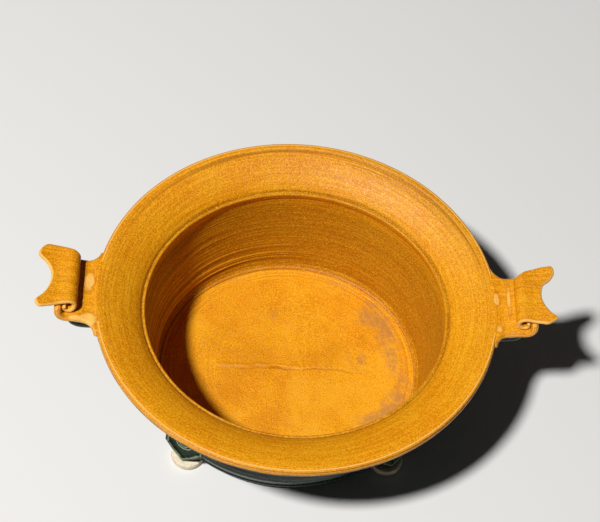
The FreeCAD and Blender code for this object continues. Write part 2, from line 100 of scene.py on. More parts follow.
class FootSizes(bpy.types.PropertyGroup):
    """Sizes of the feet and their shields"""
    shield_width: length("Shield width", 0.032, "Glazed shield over each foot")
    shield_stand: length("Shield stand", 0.0095, "Shield's point, out from the foot's middle")
    shield_lean: length("Shield lean", 0.0065, "How far the shield's face leans back over its height")
    shield_turn: bpy.props.FloatProperty(name="Shield turn", default=math.radians(15), subtype="ANGLE",
                                         description="Turn of the shields towards the short axis")
    spiral_radius: length("Spiral radius", 0.0085, "Outer turn of the raised spiral")
    spiral_line: length("Spiral line", 0.0008, "Radius of the raised line")
    spiral_turns: bpy.props.FloatProperty(name="Spiral turns", description="Turns of the spiral",
                                          default=3.0, min=1.0)


class GlazeColours(bpy.types.PropertyGroup):
    """Colours of the two glazes and the clay"""
    amber: colour("Amber", (0.700, 0.232, 0.0005), "Amber glaze where it is even")
    honey: colour("Honey", (0.760, 0.318, 0.004), "Amber glaze where it is thin and pale")
    straw: colour("Straw", (0.850, 0.430, 0.020), "Pale freckles and streaks in the amber glaze")
    rust: colour("Rust", (0.380, 0.110, 0.001), "Amber glaze where it breaks over an edge")
    # Toffee is also painted shade on the rim: at its left end, along its outer edge at the back right, in
    # the crevice over the bead and in the groove round the rolled edge. It also darkens the wall below a
    # band at its top.
    toffee: colour("Toffee", (0.240, 0.084, 0.001), "Amber glaze where it pools")
    # Buff is also the colour of the painted highlights on the straps.
    buff: colour("Buff", (0.850, 0.470, 0.105), "Clay showing through on a sharp crest")
    rose: colour("Rose", (0.400, 0.180, 0.045), "Dull brownish patches on the floor")
    bottle: colour("Bottle green", (0.0016, 0.0080, 0.0034), "Green glaze where it is thick")
    fern: colour("Fern", (0.008, 0.034, 0.012), "Green glaze where it is thin")
    celadon: colour("Celadon", (0.200, 0.270, 0.140), "Green glaze over a raised line")
    clay: colour("Clay", (0.830, 0.745, 0.560), "Bare fired stoneware")


class StageSettings(bpy.types.PropertyGroup):
    """Camera and light"""
    lens: bpy.props.FloatProperty(name="Lens", description="Focal length of the camera in millimetres",
                                  default=96.0, min=10.0)
    floor_colour: colour("Floor", (0.66, 0.65, 0.63), "Colour of the floor")


GROUPS = {"dish_sizes": DishSizes, "handle_sizes": HandleSizes, "foot_sizes": FootSizes,
          "glaze_colours": GlazeColours, "stage_settings": StageSettings}


# ---------------------------------------------------------------- node trees

def add_node(tree, kind, inputs=None, **settings):
    """Adds a node. Each input is a value or another node's output socket."""
    node = tree.nodes.new(kind)
    for name, value in settings.items():
        setattr(node, name, value)
    for key, value in (inputs or {}).items():
        if isinstance(value, bpy.types.NodeSocket):
            tree.links.new(value, node.inputs[key])
        else:
            node.inputs[key].default_value = value
    return node


def maths(tree, operation, *values, clamp=False):
    """The result of one Math node of either kind of tree."""
    node = add_node(tree, "ShaderNodeMath", dict(enumerate(values)), operation=operation)
    node.use_clamp = clamp
    return node.outputs[0]


def scaled(tree, vector, scale):
    """A vector stretched by three factors."""
    node = add_node(tree, "ShaderNodeVectorMath", {0: vector, 1: scale}, operation="MULTIPLY")
    return node.outputs[0]


def cloud(tree, vector, scale, detail=2.0, roughness=0.5, distortion=0.0):
    """A noise value from 0 to 1."""
    node = add_node(tree, "ShaderNodeTexNoise", {"Vector": vector, "Scale": scale, "Detail": detail,
                                                 "Roughness": roughness, "Distortion": distortion})
    return node.outputs["Fac"]


def ramped(tree, value, low, high):
    """A value stretched so that low gives 0 and high gives 1, with soft ends."""
    node = add_node(tree, "ShaderNodeMapRange", {"Value": value, "From Min": low, "From Max": high},
                    interpolation_type="SMOOTHSTEP")
    return node.outputs["Result"]


def blended(tree, factor, first, second, blend="MIX"):
    """Two colours mixed by a factor."""
    node = add_node(tree, "ShaderNodeMix", data_type="RGBA", blend_type=blend)
    for socket, value in ((node.inputs[0], factor), (node.inputs[6], first), (node.inputs[7], second)):
        if isinstance(value, bpy.types.NodeSocket):
            tree.links.new(value, socket)
        elif isinstance(value, (int, float)):
            socket.default_value = value
        else:
            socket.default_value = (*value, 1.0)
    return node.outputs[2]


def new_group(name, kind, inputs, outputs):
    """A node group with its sockets. Returns the tree, its input node and its output node."""
    tree = bpy.data.node_groups.new(name, kind)
    for socket, (label, default) in (("INPUT", item) for item in inputs.items()):
        item = tree.interface.new_socket(label, in_out=socket, socket_type=default[0])
        if default[1] is not None:
            item.default_value = default[1]
    for label, socket_type in outputs.items():
        tree.interface.new_socket(label, in_out="OUTPUT", socket_type=socket_type)
    return tree, tree.nodes.new("NodeGroupInput"), tree.nodes.new("NodeGroupOutput")


def link_out(tree, group_output, results):
    for label, socket in results.items():
        tree.links.new(socket, group_output.inputs[label])


# ---------------------------------------------------------------- glaze groups

VECTOR, VALUE, TINT = "NodeSocketVector", "NodeSocketFloat", "NodeSocketColor"


def glaze_grain_group():
    """Fine grain and soft clouds that every glaze shares."""
    tree, given, out = new_group("Glaze grain", "ShaderNodeTree",
                                 {"Vector": (VECTOR, None), "Grain size": (VALUE, 0.0009)},
                                 {"Grain": VALUE, "Mottle": VALUE, "Cloud": VALUE})
    vector = given.outputs["Vector"]
    grain_scale = maths(tree, "DIVIDE", 1.0, given.outputs["Grain size"])
    grain = cloud(tree, vector, grain_scale, detail=2.0, roughness=0.6)
    mottle = cloud(tree, vector, maths(tree, "MULTIPLY", grain_scale, 0.22), detail=3.0, roughness=0.6)
    clouds = cloud(tree, vector, maths(tree, "MULTIPLY", grain_scale, 0.028), detail=3.0,
                   roughness=0.55, distortion=0.4)
    link_out(tree, out, {"Grain": ramped(tree, grain, 0.36, 0.64),
                         "Mottle": ramped(tree, mottle, 0.34, 0.66),
                         "Cloud": ramped(tree, clouds, 0.3, 0.7)})
    return tree


# How strongly each layer of the amber glaze shows, from 0 to 1.
AMBER_LAYERS = {"cloud": 0.75, "dark freckle": 0.52, "pale freckle": 0.55, "mottle": 0.12,
                "dark streak": 0.22, "pale streak": 0.28, "patch": 0.75, "pooled ring": 0.62,
                "raised ring": 0.62, "broken edge": 0.30, "bare edge and painted highlight": 0.80}
# Streaks of the amber glaze per metre across the way that it was wiped, and along it.
STREAKS_ACROSS, STREAKS_ALONG = 1150.0, 22.0


def amber_group(colours, grain_group):
    """The amber glaze: freckled, rust and then buff over edges and painted highlights, toffee where it lies
    deep and as painted shade.
    """
    tree, given, out = new_group(
        "Amber glaze", "ShaderNodeTree",
        {"Vector": (VECTOR, None), "Edge": (VALUE, 0.0), "Ring": (VALUE, 0.5), "Patch": (VALUE, 0.0),
         "Depth": (VALUE, 0.0), "Pale": (VALUE, 0.0), "Across": (VALUE, 0.0)},
        {"Color": TINT, "Roughness": VALUE, "Height": VALUE})
    grain = placed_group(tree, grain_group, given.outputs["Vector"])
    fine, mottle, clouds = (grain.outputs[name] for name in ("Grain", "Mottle", "Cloud"))
    ring = given.outputs["Ring"]

    def layer(name, mask, below, colour):
        return blended(tree, maths(tree, "MULTIPLY", mask, AMBER_LAYERS[name]), below, colour)

    finger = maths(tree, "MULTIPLY", given.outputs["Across"], STREAKS_ACROSS)
    lift = add_node(tree, "ShaderNodeCombineXYZ", {2: finger}).outputs[0]
    level = scaled(tree, given.outputs["Vector"], (STREAKS_ALONG,) * 3)
    wiped = add_node(tree, "ShaderNodeVectorMath", {0: level, 1: lift}, operation="ADD").outputs[0]
    streak = ramped(tree, cloud(tree, wiped, 1.0, detail=2.0, roughness=0.6), 0.3, 0.7)
    pale = maths(tree, "MULTIPLY", given.outputs["Pale"], 1.0, clamp=True)
    patch = maths(tree, "MULTIPLY", given.outputs["Patch"], maths(tree, "ADD", 0.55, mottle), clamp=True)
    ragged = maths(tree, "ADD", given.outputs["Edge"], maths(tree, "MULTIPLY_ADD", mottle, 0.12, -0.06))
    tint = layer("cloud", clouds, colours.amber, colours.honey)
    # The Depth input brings pooled glaze and painted shade alike.
    tint = blended(tree, given.outputs["Depth"], tint, colours.toffee)
    tint = blended(tree, pale, tint, colours.honey)
    tint = layer("dark freckle", ramped(tree, fine, 0.5, 0.0), tint, colours.rust)
    tint = layer("pale freckle", ramped(tree, fine, 0.5, 1.0), tint, colours.straw)
    tint = layer("mottle", mottle, tint, colours.rust)
    tint = layer("dark streak", ramped(tree, streak, 0.5, 0.0), tint, colours.rust)
    tint = layer("pale streak", ramped(tree, streak, 0.5, 1.0), tint, colours.straw)
    tint = layer("patch", patch, tint, colours.rose)
    tint = layer("pooled ring", ramped(tree, ring, 0.5, 0.15), tint, colours.toffee)
    tint = layer("raised ring", ramped(tree, ring, 0.55, 0.95), tint, colours.straw)
    tint = layer("broken edge", ramped(tree, ragged, 0.10, 0.45), tint, colours.rust)
    # The edge input also brings the painted highlights of the straps, which turn buff here.
    tint = layer("bare edge and painted highlight", ramped(tree, ragged, 0.45, 0.85), tint, colours.buff)
    roughness = maths(tree, "MULTIPLY_ADD", patch, 0.2, maths(tree, "MULTIPLY_ADD", mottle, 0.08, 0.34))
    height = maths(tree, "MULTIPLY_ADD", fine, 0.7, mottle)
    link_out(tree, out, {"Color": tint, "Roughness": roughness, "Height": height})
    return tree


def green_group(colours, grain_group):
    """The green glaze: near black where thick, pale green where it thins over a ridge."""
    tree, given, out = new_group(
        "Green glaze", "ShaderNodeTree",
        {"Vector": (VECTOR, None), "Edge": (VALUE, 0.0), "Ring": (VALUE, 0.5)},
        {"Color": TINT, "Roughness": VALUE, "Height": VALUE})
    grain = placed_group(tree, grain_group, given.outputs["Vector"])
    fine, mottle, clouds = (grain.outputs[name] for name in ("Grain", "Mottle", "Cloud"))
    thin = maths(tree, "MULTIPLY", clouds, maths(tree, "MULTIPLY_ADD", mottle, 0.6, 0.25))
    tint = blended(tree, maths(tree, "MULTIPLY", thin, 0.8), colours.bottle, colours.fern)
    tint = blended(tree, ramped(tree, given.outputs["Ring"], 0.55, 0.85), tint, colours.fern)
    ragged = maths(tree, "ADD", given.outputs["Edge"], maths(tree, "MULTIPLY_ADD", mottle, 0.3, -0.15))
    tint = blended(tree, maths(tree, "MULTIPLY", ramped(tree, ragged, 0.35, 0.95), 0.9), tint,
                   colours.celadon)
    roughness = maths(tree, "MULTIPLY_ADD", fine, 0.08, 0.22)
    link_out(tree, out, {"Color": tint, "Roughness": roughness,
                         "Height": maths(tree, "MULTIPLY_ADD", fine, 0.3, mottle)})
    return tree


def attribute(tree, name):
    return add_node(tree, "ShaderNodeAttribute", attribute_name=name).outputs["Fac"]


def new_material(name):
    """A material with its Principled shader, ready for nodes."""
    material = bpy.data.materials.new(name)
    material.use_nodes = True
    tree = material.node_tree
    shader = tree.nodes["Principled BSDF"]
    vector = add_node(tree, "ShaderNodeTexCoord").outputs["Object"]
    return material, tree, shader, vector


def placed_group(tree, group, vector, **inputs):
    node = add_node(tree, "ShaderNodeGroup", node_tree=group)
    tree.links.new(vector, node.inputs["Vector"])
    for name, socket in inputs.items():
        tree.links.new(socket, node.inputs[name.capitalize()])
    return node


def bumped(tree, shader, height, distance, strength=1.0):
    bump = add_node(tree, "ShaderNodeBump",
                    {"Strength": strength, "Distance": distance, "Height": height})
    tree.links.new(bump.outputs["Normal"], shader.inputs["Normal"])


def glazed_material(amber, green):
    """Amber inside the glaze line and green outside it, with a ragged overlap."""
    material, tree, shader, vector = new_material("finish_amber")
    edge, ring = attribute(tree, "edge"), attribute(tree, "ring")
    inside = placed_group(tree, amber, vector, edge=edge, ring=ring, patch=attribute(tree, "patch"),
                          depth=attribute(tree, "depth"), pale=attribute(tree, "pale"),
                          across=attribute(tree, "along"))
    outside = placed_group(tree, green, vector, edge=edge, ring=ring)
    wander = maths(tree, "MULTIPLY_ADD", cloud(tree, vector, 60.0, detail=3.0), 0.0024, -0.0012)
    line = maths(tree, "ADD", attribute(tree, "seam"), wander)
    mask = ramped(tree, line, -0.0003, 0.0005)
    tree.links.new(blended(tree, mask, inside.outputs["Color"], outside.outputs["Color"]),
                   shader.inputs["Base Color"])
    values = {}
    for name in ("Roughness", "Height"):
        gap = maths(tree, "SUBTRACT", outside.outputs[name], inside.outputs[name])
        values[name] = maths(tree, "MULTIPLY_ADD", gap, mask, inside.outputs[name])
    tree.links.new(values["Roughness"], shader.inputs["Roughness"])
    shader.inputs["Specular IOR Level"].default_value = 0.22
    bumped(tree, shader, values["Height"], 0.00013)
    return material


def green_material(green):
    material, tree, shader, vector = new_material("finish_green")
    edge, ring = (attribute(tree, name) for name in ("edge", "ring"))
    glaze = placed_group(tree, green, vector, edge=edge, ring=ring)
    tree.links.new(glaze.outputs["Color"], shader.inputs["Base Color"])
    tree.links.new(glaze.outputs["Roughness"], shader.inputs["Roughness"])
    shader.inputs["Specular IOR Level"].default_value = 0.16
    bumped(tree, shader, glaze.outputs["Height"], 0.0001)
    return material


def bare_clay_material(colours, grain_group):
    material, tree, shader, vector = new_material("finish_clay")
    grain = placed_group(tree, grain_group, vector)
    fine, mottle, clouds = (grain.outputs[name] for name in ("Grain", "Mottle", "Cloud"))
    dark = tuple(0.62 * part for part in colours.clay)
    tint = blended(tree, maths(tree, "MULTIPLY", mottle, 0.35), colours.clay, dark)
    specks = ramped(tree, cloud(tree, vector, 1400.0, detail=1.0), 0.68, 0.76)
    tint = blended(tree, maths(tree, "MULTIPLY", specks, 0.7), tint, colours.rust)
    tint = blended(tree, maths(tree, "MULTIPLY", clouds, 0.12), tint, colours.honey)
    tree.links.new(tint, shader.inputs["Base Color"])
    shader.inputs["Roughness"].default_value = 0.85
    bumped(tree, shader, maths(tree, "MULTIPLY_ADD", fine, 0.7, mottle), 0.0003)
    return material


def materials():
    """The three finishes, made once."""
    names = ("finish_amber", "finish_green", "finish_clay")
    if names[0] not in bpy.data.materials:
        colours = bpy.context.scene.glaze_colours
        grain = glaze_grain_group()
        green = green_group(colours, grain)
        glazed_material(amber_group(colours, grain), green)
        green_material(green)
        bare_clay_material(colours, grain)
    return tuple(bpy.data.materials[name] for name in names)


# ---------------------------------------------------------------- mesh helpers

def set_attribute(mesh, name, values):
    layer = mesh.attributes.get(name) or mesh.attributes.new(name, "FLOAT", "POINT")
    layer.data.foreach_set("value", values)


def keep_piece(piece, nodes, material=None):
    """Puts a finished mesh object into the frame in place of its CAD nodes."""
    if material is not None:
        piece.data.materials.clear()
        piece.data.materials.append(material)
    piece.data.shade_smooth()
    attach(piece, BODY)
    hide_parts(*nodes)
    return piece


def new_object(name, vertices, faces=(), edges=(), attributes=None):
    mesh = bpy.data.meshes.new(name)
    mesh.from_pydata([tuple(v) for v in vertices], list(edges), list(faces))
    for label, values in (attributes or {}).items():
        set_attribute(mesh, label, values)
    piece = bpy.data.objects.new(name, mesh)
    bpy.context.scene.collection.objects.link(piece)
    return piece


def band_faces(bands, around, base=0, closed=True):
    """Four-sided faces between rows of points. Each row has as many points, and may close on itself."""
    faces = []
    for i in range(bands):
        for k in range(around if closed else around - 1):
            a, b = base + i * around + k, base + i * around + (k + 1) % around
            faces.append((a, a + around, b + around, b))
    return faces


def sheet_faces(bands, across):
    """Faces of both sides of a sheet. The second side's points follow the first's and face the other way."""
    second = band_faces(bands, across, (bands + 1) * across, closed=False)
    return band_faces(bands, across, closed=False) + [face[::-1] for face in second]


def closed_up(piece, distance=0.00002):
    """Merges doubled points and turns the faces outwards."""
    shape = bmesh.new()
    shape.from_mesh(piece.data)
    bmesh.ops.remove_doubles(shape, verts=shape.verts, dist=distance)
    bmesh.ops.dissolve_degenerate(shape, edges=shape.edges, dist=distance / 4)
    bmesh.ops.recalc_face_normals(shape, faces=shape.faces)
    shape.to_mesh(piece.data)
    shape.free()
    return piece


def applied(piece, name):
    """The piece with its modifiers applied, as a plain new object."""
    evaluated = piece.evaluated_get(bpy.context.evaluated_depsgraph_get())
    mesh = bpy.data.meshes.new_from_object(evaluated)
    mesh.name = name
    old = piece.data
    bpy.data.objects.remove(piece)
    bpy.data.meshes.remove(old)
    result = bpy.data.objects.new(name, mesh)
    bpy.context.scene.collection.objects.link(result)
    return result


def nodes_modifier(piece, tree, **inputs):
    """A Geometry Nodes modifier with its inputs set by their socket identifiers."""
    modifier = piece.modifiers.new(tree.name, "NODES")
    modifier.node_group = tree
    wanted = {name.replace("_", " ").capitalize(): value for name, value in inputs.items()}
    for item in tree.interface.items_tree:
        if item.item_type == "SOCKET" and item.in_out == "INPUT" and item.name in wanted:
            modifier[item.identifier] = wanted[item.name]
    return modifier


def rounded_path(corners, step=0.0006):
    """Points along straight sides with rounded corners, from the first corner to the last.

    Each corner is (across, up) or (across, up, radius) in metres. Returns the points and, for each
    point, the number of the last corner before it."""
    points, marks = [], []
    spots = [Vector(corner[:2]) for corner in corners]
    for i, here in enumerate(spots):
        radius = corners[i][2] if len(corners[i]) > 2 else 0.0
        if radius == 0.0 or i in (0, len(spots) - 1):
            points.append(here)
            marks.append(i)
            continue
        before = (spots[i - 1] - here).normalized()
        after = (spots[i + 1] - here).normalized()
        half_angle = before.angle(after) / 2
        setback = radius / math.tan(half_angle)
        centre = here + (before + after).normalized() * (radius / math.sin(half_angle))
        start, finish = here + before * setback - centre, here + after * setback - centre
        turn = start.angle(finish)
        pieces = max(3, math.ceil(turn / 0.35), math.ceil(turn * radius / step))
        for k in range(pieces + 1):
            along = k / pieces
            arm = start * math.sin((1 - along) * turn) + finish * math.sin(along * turn)
            points.append(centre + arm / math.sin(turn))
            marks.append(i)
    filled, kept = [points[0]], [0]
    for point, mark in zip(points[1:], marks[1:]):
        gap = (point - filled[-1]).length
        if gap < 1e-7:
            continue
        pieces = math.ceil(gap / step)
        start = filled[-1]
        for k in range(1, pieces):
            filled.append(start.lerp(point, k / pieces))
            kept.append(kept[-1])
        filled.append(point)
        kept.append(mark)
    return filled, kept


def looked_up(table, x):
    """The value at x on straight lines through a list of (x, value) pairs in rising order."""
    if x <= table[0][0]:
        return table[0][1]
    for (low, first), (high, second) in zip(table, table[1:]):
        if x <= high:
            return first + (second - first) * (x - low) / (high - low)
    return table[-1][1]


def softened(table, x, reach):
    """looked_up, averaged over a reach on both sides, so that corners come out round."""
    return sum(looked_up(table, x + reach * k / 4) for k in range(-4, 5)) / 9


def bell(x, middle, width):
    """A smooth bump of height 1."""
    return math.exp(-((x - middle) / width) ** 2)


def smooth(x, low, high):
    """0 below low, 1 above high, smooth between. low may be above high."""
    t = min(1.0, max(0.0, (x - low) / (high - low)))
    return t * t * (3 - 2 * t)


# ---------------------------------------------------------------- thrown rings

def oval_sweep_tree():
    """Sweeps a profile round an oval and throws rings into its surface."""
    length_kind, number_kind = "NodeSocketFloat", "NodeSocketInt"
    tree, given, out = new_group(
        "Oval sweep", "GeometryNodeTree",
        {"Profile": ("NodeSocketGeometry", None), "Half length": (length_kind, 0.1),
         "Half breadth": (length_kind, 0.09), "Steps": (number_kind, 288),
         "Ring pitch": (length_kind, 0.002), "Ring depth": (length_kind, 0.0004),
         "Heavy x": (length_kind, 0.0), "Heavy y": (length_kind, 0.0),
         "Wobble": (length_kind, 0.0), "Seed": (length_kind, 0.0),
         "Material": ("NodeSocketMaterial", None)},
        {"Geometry": "NodeSocketGeometry"})
    want = given.outputs
    profile = add_node(tree, "GeometryNodeMeshToCurve", {"Mesh": want["Profile"]})
    circle = add_node(tree, "GeometryNodeCurvePrimitiveCircle", {"Resolution": want["Steps"],
                                                                 "Radius": 1.0}, mode="RADIUS")
    spread = add_node(tree, "ShaderNodeCombineXYZ", {0: want["Half length"], 1: want["Half breadth"],
                                                     2: 1.0})
    oval = add_node(tree, "GeometryNodeTransform", {"Geometry": circle.outputs[0],
                                                    "Scale": spread.outputs[0]})
    upright = add_node(tree, "GeometryNodeSetCurveNormal", {"Curve": oval.outputs[0]}, mode="Z_UP")
    sweep = add_node(tree, "GeometryNodeCurveToMesh", {"Curve": upright.outputs[0],
                                                       "Profile Curve": profile.outputs[0]})
    place = add_node(tree, "GeometryNodeInputPosition").outputs[0]
    normal = add_node(tree, "GeometryNodeInputNormal").outputs[0]
    ripple, along = (add_node(tree, "GeometryNodeInputNamedAttribute", {"Name": name},
                              data_type="FLOAT").outputs["Attribute"] for name in ("ripple", "along"))
    turn = maths(tree, "DIVIDE", along, want["Ring pitch"])
    level = scaled(tree, place, (1.0, 1.0, 0.0))
    lift = add_node(tree, "ShaderNodeCombineXYZ",
                    {0: want["Seed"], 2: maths(tree, "MULTIPLY", turn, 0.62)})
    seeded = add_node(tree, "ShaderNodeVectorMath", {0: scaled(tree, level, (4.0, 4.0, 4.0)),
                                                     1: lift.outputs[0]}, operation="ADD")
    rings = cloud(tree, seeded.outputs[0], 1.0, detail=3.0, roughness=0.6)
    swing = maths(tree, "MULTIPLY_ADD", ramped(tree, rings, 0.25, 0.75), 2.0, -1.0)
    across = add_node(tree, "ShaderNodeSeparateXYZ", {0: place})
    lean = maths(tree, "ADD", maths(tree, "MULTIPLY", across.outputs[0], want["Heavy x"]),
                 maths(tree, "MULTIPLY", across.outputs[1], want["Heavy y"]))
    swing = maths(tree, "MULTIPLY", swing, maths(tree, "MAXIMUM", maths(tree, "ADD", lean, 1.0), 0.15))
    push = maths(tree, "MULTIPLY", maths(tree, "MULTIPLY", swing, ripple), want["Ring depth"])
    thrown = add_node(tree, "ShaderNodeVectorMath", {0: normal, "Scale": push}, operation="SCALE")
    shaped = add_node(tree, "GeometryNodeSetPosition", {"Geometry": sweep.outputs[0],
                                                        "Offset": thrown.outputs[0]})
    marked = add_node(tree, "GeometryNodeStoreNamedAttribute", {
        "Geometry": shaped.outputs[0], "Name": "ring",
        "Value": maths(tree, "MULTIPLY_ADD", maths(tree, "MULTIPLY", swing, ripple), 0.5, 0.5)},
        data_type="FLOAT", domain="POINT")
    slow = cloud(tree, scaled(tree, place, (9.0, 9.0, 9.0)), 1.0, detail=1.0)
    inward = add_node(tree, "ShaderNodeVectorMath", {0: level}, operation="NORMALIZE").outputs[0]
    sink = maths(tree, "MULTIPLY", maths(tree, "MULTIPLY", slow, want["Wobble"]), -1.0)
    hand = add_node(tree, "ShaderNodeVectorMath", {0: inward, "Scale": sink}, operation="SCALE")
    uneven = add_node(tree, "GeometryNodeSetPosition", {"Geometry": marked.outputs[0],
                                                        "Offset": hand.outputs[0]})
    plain = add_node(tree, "GeometryNodeRealizeInstances", {"Geometry": uneven.outputs[0]})
    painted = add_node(tree, "GeometryNodeSetMaterial", {"Geometry": plain.outputs[0],
                                                         "Material": want["Material"]})
    link_out(tree, out, {"Geometry": painted.outputs[0]})
    return tree


def swept_piece(name, points, attributes, wobble, heavy, seed):
    """A closed profile of (offset from the base oval, height) swept round the oval.

    heavy says how much stronger the throwing rings are per metre along x and y."""
    attributes["along"] = line_distance(points, 0)
    sizes = bpy.context.scene.dish_sizes
    edges = [(i, (i + 1) % len(points)) for i in range(len(points))]
    flat = [(point[0], -point[1], 0.0) for point in points]
    profile = new_object(name + "_profile", flat, edges=edges, attributes=attributes)
    tree = bpy.data.node_groups.get("Oval sweep") or oval_sweep_tree()
    nodes_modifier(profile, tree, half_length=SLAB_HIGH.x, half_breadth=SLAB_HIGH.y,
                   steps=sizes.steps_round, ring_pitch=sizes.ring_pitch, ring_depth=sizes.ring_depth,
                   heavy_x=heavy[0], heavy_y=heavy[1], wobble=wobble, seed=seed,
                   material=materials()[0])
    return closed_up(applied(profile, name), distance=0.000005)


def line_distance(points, crossing):
    """Length along the path from a crossing, between two numbered points, to each point."""
    lengths = [0.0]
    for here, there in zip(points, points[1:]):
        lengths.append(lengths[-1] + (there - here).length)
    zero = lengths[crossing]
    return [length - zero for length in lengths]


def base_offsets():
    """Offsets from the base oval: the rim's edge and the mouth of the well."""
    edge = RIM_HIGH.x - SLAB_HIGH.x
    return edge, edge - bpy.context.scene.dish_sizes.flange_width


def rim_corners():
    """The rim's section as (offset from the base oval, height, corner radius)."""
    sizes = bpy.context.scene.dish_sizes
    edge, mouth = base_offsets()
    top, low = RIM_HIGH.z, RIM_LOW.z
    under = top - sizes.edge_height
    outside = mouth + sizes.wall_thickness
    return [
        (mouth + sizes.wall_thickness / 2, low),
        (mouth - 0.9 * MM, low),
        (mouth - 1.2 * MM, low + 0.9 * MM, 1.5 * MM),
        (mouth - 1.1 * MM, low + 2.9 * MM, 1.0 * MM),
        (mouth + 1.1 * MM, low + 2.6 * MM, 0.3 * MM),
        (edge - 31.5 * MM, top - 14.3 * MM, 4.0 * MM),
        (edge - 28.3 * MM, top - 11.3 * MM, 10.0 * MM),
        (edge - 23.5 * MM, top - 8.0 * MM, 32.0 * MM),
        (edge - 16.0 * MM, top - 3.9 * MM, 50.0 * MM),
        (edge - 8.4 * MM, top - 1.15 * MM, 16.0 * MM),
        (edge - 4.6 * MM, top - 0.2 * MM, 6.0 * MM),
        (edge - 1.3 * MM, top - 0.15 * MM, 1.2 * MM),
        (edge - 0.9 * MM, top - 1.3 * MM, 0.5 * MM),
        (edge - 2.0 * MM, top - 1.9 * MM, 0.25 * MM),
        (edge - 0.8 * MM, top - 2.4 * MM, 0.5 * MM),
        (edge - 0.15 * MM, under, 1.6 * MM),
        (edge - 4.4 * MM, under + 0.1 * MM, 0.8 * MM),
        (edge - 16.0 * MM, top - 10.3 * MM, 40.0 * MM),
        (edge - 24.6 * MM, top - 14.6 * MM, 10.0 * MM),
        (outside, low + 1.2 * MM, 1.5 * MM),
        (outside, low),
        (mouth + sizes.wall_thickness / 2, low),
    ]


# Numbers of corners in rim_corners: the crevice over the bead, the last one on top of the rolled edge
# and the groove round its side.
CREVICE_CORNER, TOP_CORNER, GROOVE_CORNER = 4, 11, 13


def rim_top_table():
    """Height of the rim's upper side against the offset from the base oval."""
    points, marks = rounded_path(rim_corners(), step=0.8 * MM)
    table = []
    for point, mark in zip(points, marks):
        if CREVICE_CORNER < mark <= TOP_CORNER + 1 and (not table or point[0] > table[-1][0] + 1e-6):
            table.append((point[0], point[1]))
    return table


def oval_offset(x, y):
    """Distance of a place from the base oval, measured along the oval's normal."""
    a, b = SLAB_HIGH.x, SLAB_HIGH.y
    t = math.atan2(y * a, x * b)
    for _ in range(5):
        s, c = math.sin(t), math.cos(t)
        value = (a * a - b * b) * s * c - x * a * s + y * b * c
        slope = (a * a - b * b) * (c * c - s * s) - x * a * c - y * b * s
        t -= value / slope
    foot = Vector((a * math.cos(t), b * math.sin(t)))
    out = Vector((math.cos(t) / a, math.sin(t) / b)).normalized()
    return (Vector((x, y)) - foot).dot(out)


class DISH_OT_make_rim(bpy.types.Operator):
    """Make the sloping rim with its rolled edge and the bead under the mouth"""
    bl_idname = "dish.make_rim"
    bl_label = "Rim"

    def execute(self, context):
        edge, mouth = base_offsets()
        top, low = RIM_HIGH.z, RIM_LOW.z
        corners = rim_corners()
        under_from = GROOVE_CORNER + 3
        points, marks = rounded_path(corners[:under_from + 1], step=0.4 * MM)
        under_points, under_marks = rounded_path(corners[under_from:], step=0.9 * MM)
        points += under_points[1:-1]
        marks += [mark + under_from for mark in under_marks[1:-1]]
        seam_at = next(i for i, mark in enumerate(marks) if mark > GROOVE_CORNER + 1)
        along = line_distance(points, seam_at)
        brow = Vector((edge - 2.5 * MM, top - 0.2 * MM))
        lower_brow = Vector((edge - 0.9 * MM, top - 2.6 * MM))
        seat = Vector((mouth - 0.9 * MM, low + 2.6 * MM))
        attributes = {"seam": [min(4 * MM, max(-4 * MM, length + 0.3 * MM)) for length in along],
                      "edge": [], "ripple": [], "depth": []}
        for point, mark in zip(points, marks):
            across, up = point
            bead = 0.30 * bell((point - seat).length, 0.0, 1.0 * MM)
            crest = max(bell((point - brow).length, 0.0, 0.65 * MM),
                        0.70 * bell((point - lower_brow).length, 0.0, 0.55 * MM), bead)
            attributes["edge"].append(crest)
            band = bell(across, edge - 7.6 * MM, 3.4 * MM) if mark < TOP_CORNER else 0.0
            attributes["ripple"].append(0.05 + 0.32 * band)
            # Painted shade: toffee in the crevice over the bead and in the groove round the rolled edge.
            crevice = bell(across, mouth + 1.3 * MM, 1.7 * MM) * smooth(up, top - 13 * MM, top - 16 * MM)
            groove = 0.0
            if TOP_CORNER <= mark <= GROOVE_CORNER + 1:
                groove = bell(up, top - 1.7 * MM, 0.9 * MM)
            attributes["depth"].append(max(0.8 * crevice, groove) if mark < under_from else 0.0)
        rim = swept_piece("dished_rim", points, attributes, wobble=0.0005, heavy=(1.0, 12.0), seed=3.0)
        # Painted shade at the rim's left end and along its outer edge at the back right.
        self.painted_shade(rim)
        keep_piece(rim, ["rim_flange"])
        return {"FINISHED"}

    def painted_shade(self, rim):
        """Painted shade: toffee mixed into the glaze at the left end, and along the outer edge at the back
        right.
        """
        edge, depth = base_offsets()[0], []
        for vertex, old in zip(rim.data.vertices, rim.data.attributes["depth"].data):
            x, y, z = vertex.co
            more = 0.20 * smooth(x, -0.085, -0.135)
            if y > 0 and z > RIM_HIGH.z - 3 * MM:
                outer = smooth(oval_offset(x, y), edge - 26 * MM, edge - 17 * MM)
                more += 0.30 * outer * smooth(y, 0.02, 0.08) * smooth(x, 0.02, 0.07)
            depth.append(max(old.value, more))
        set_attribute(rim.data, "depth", depth)


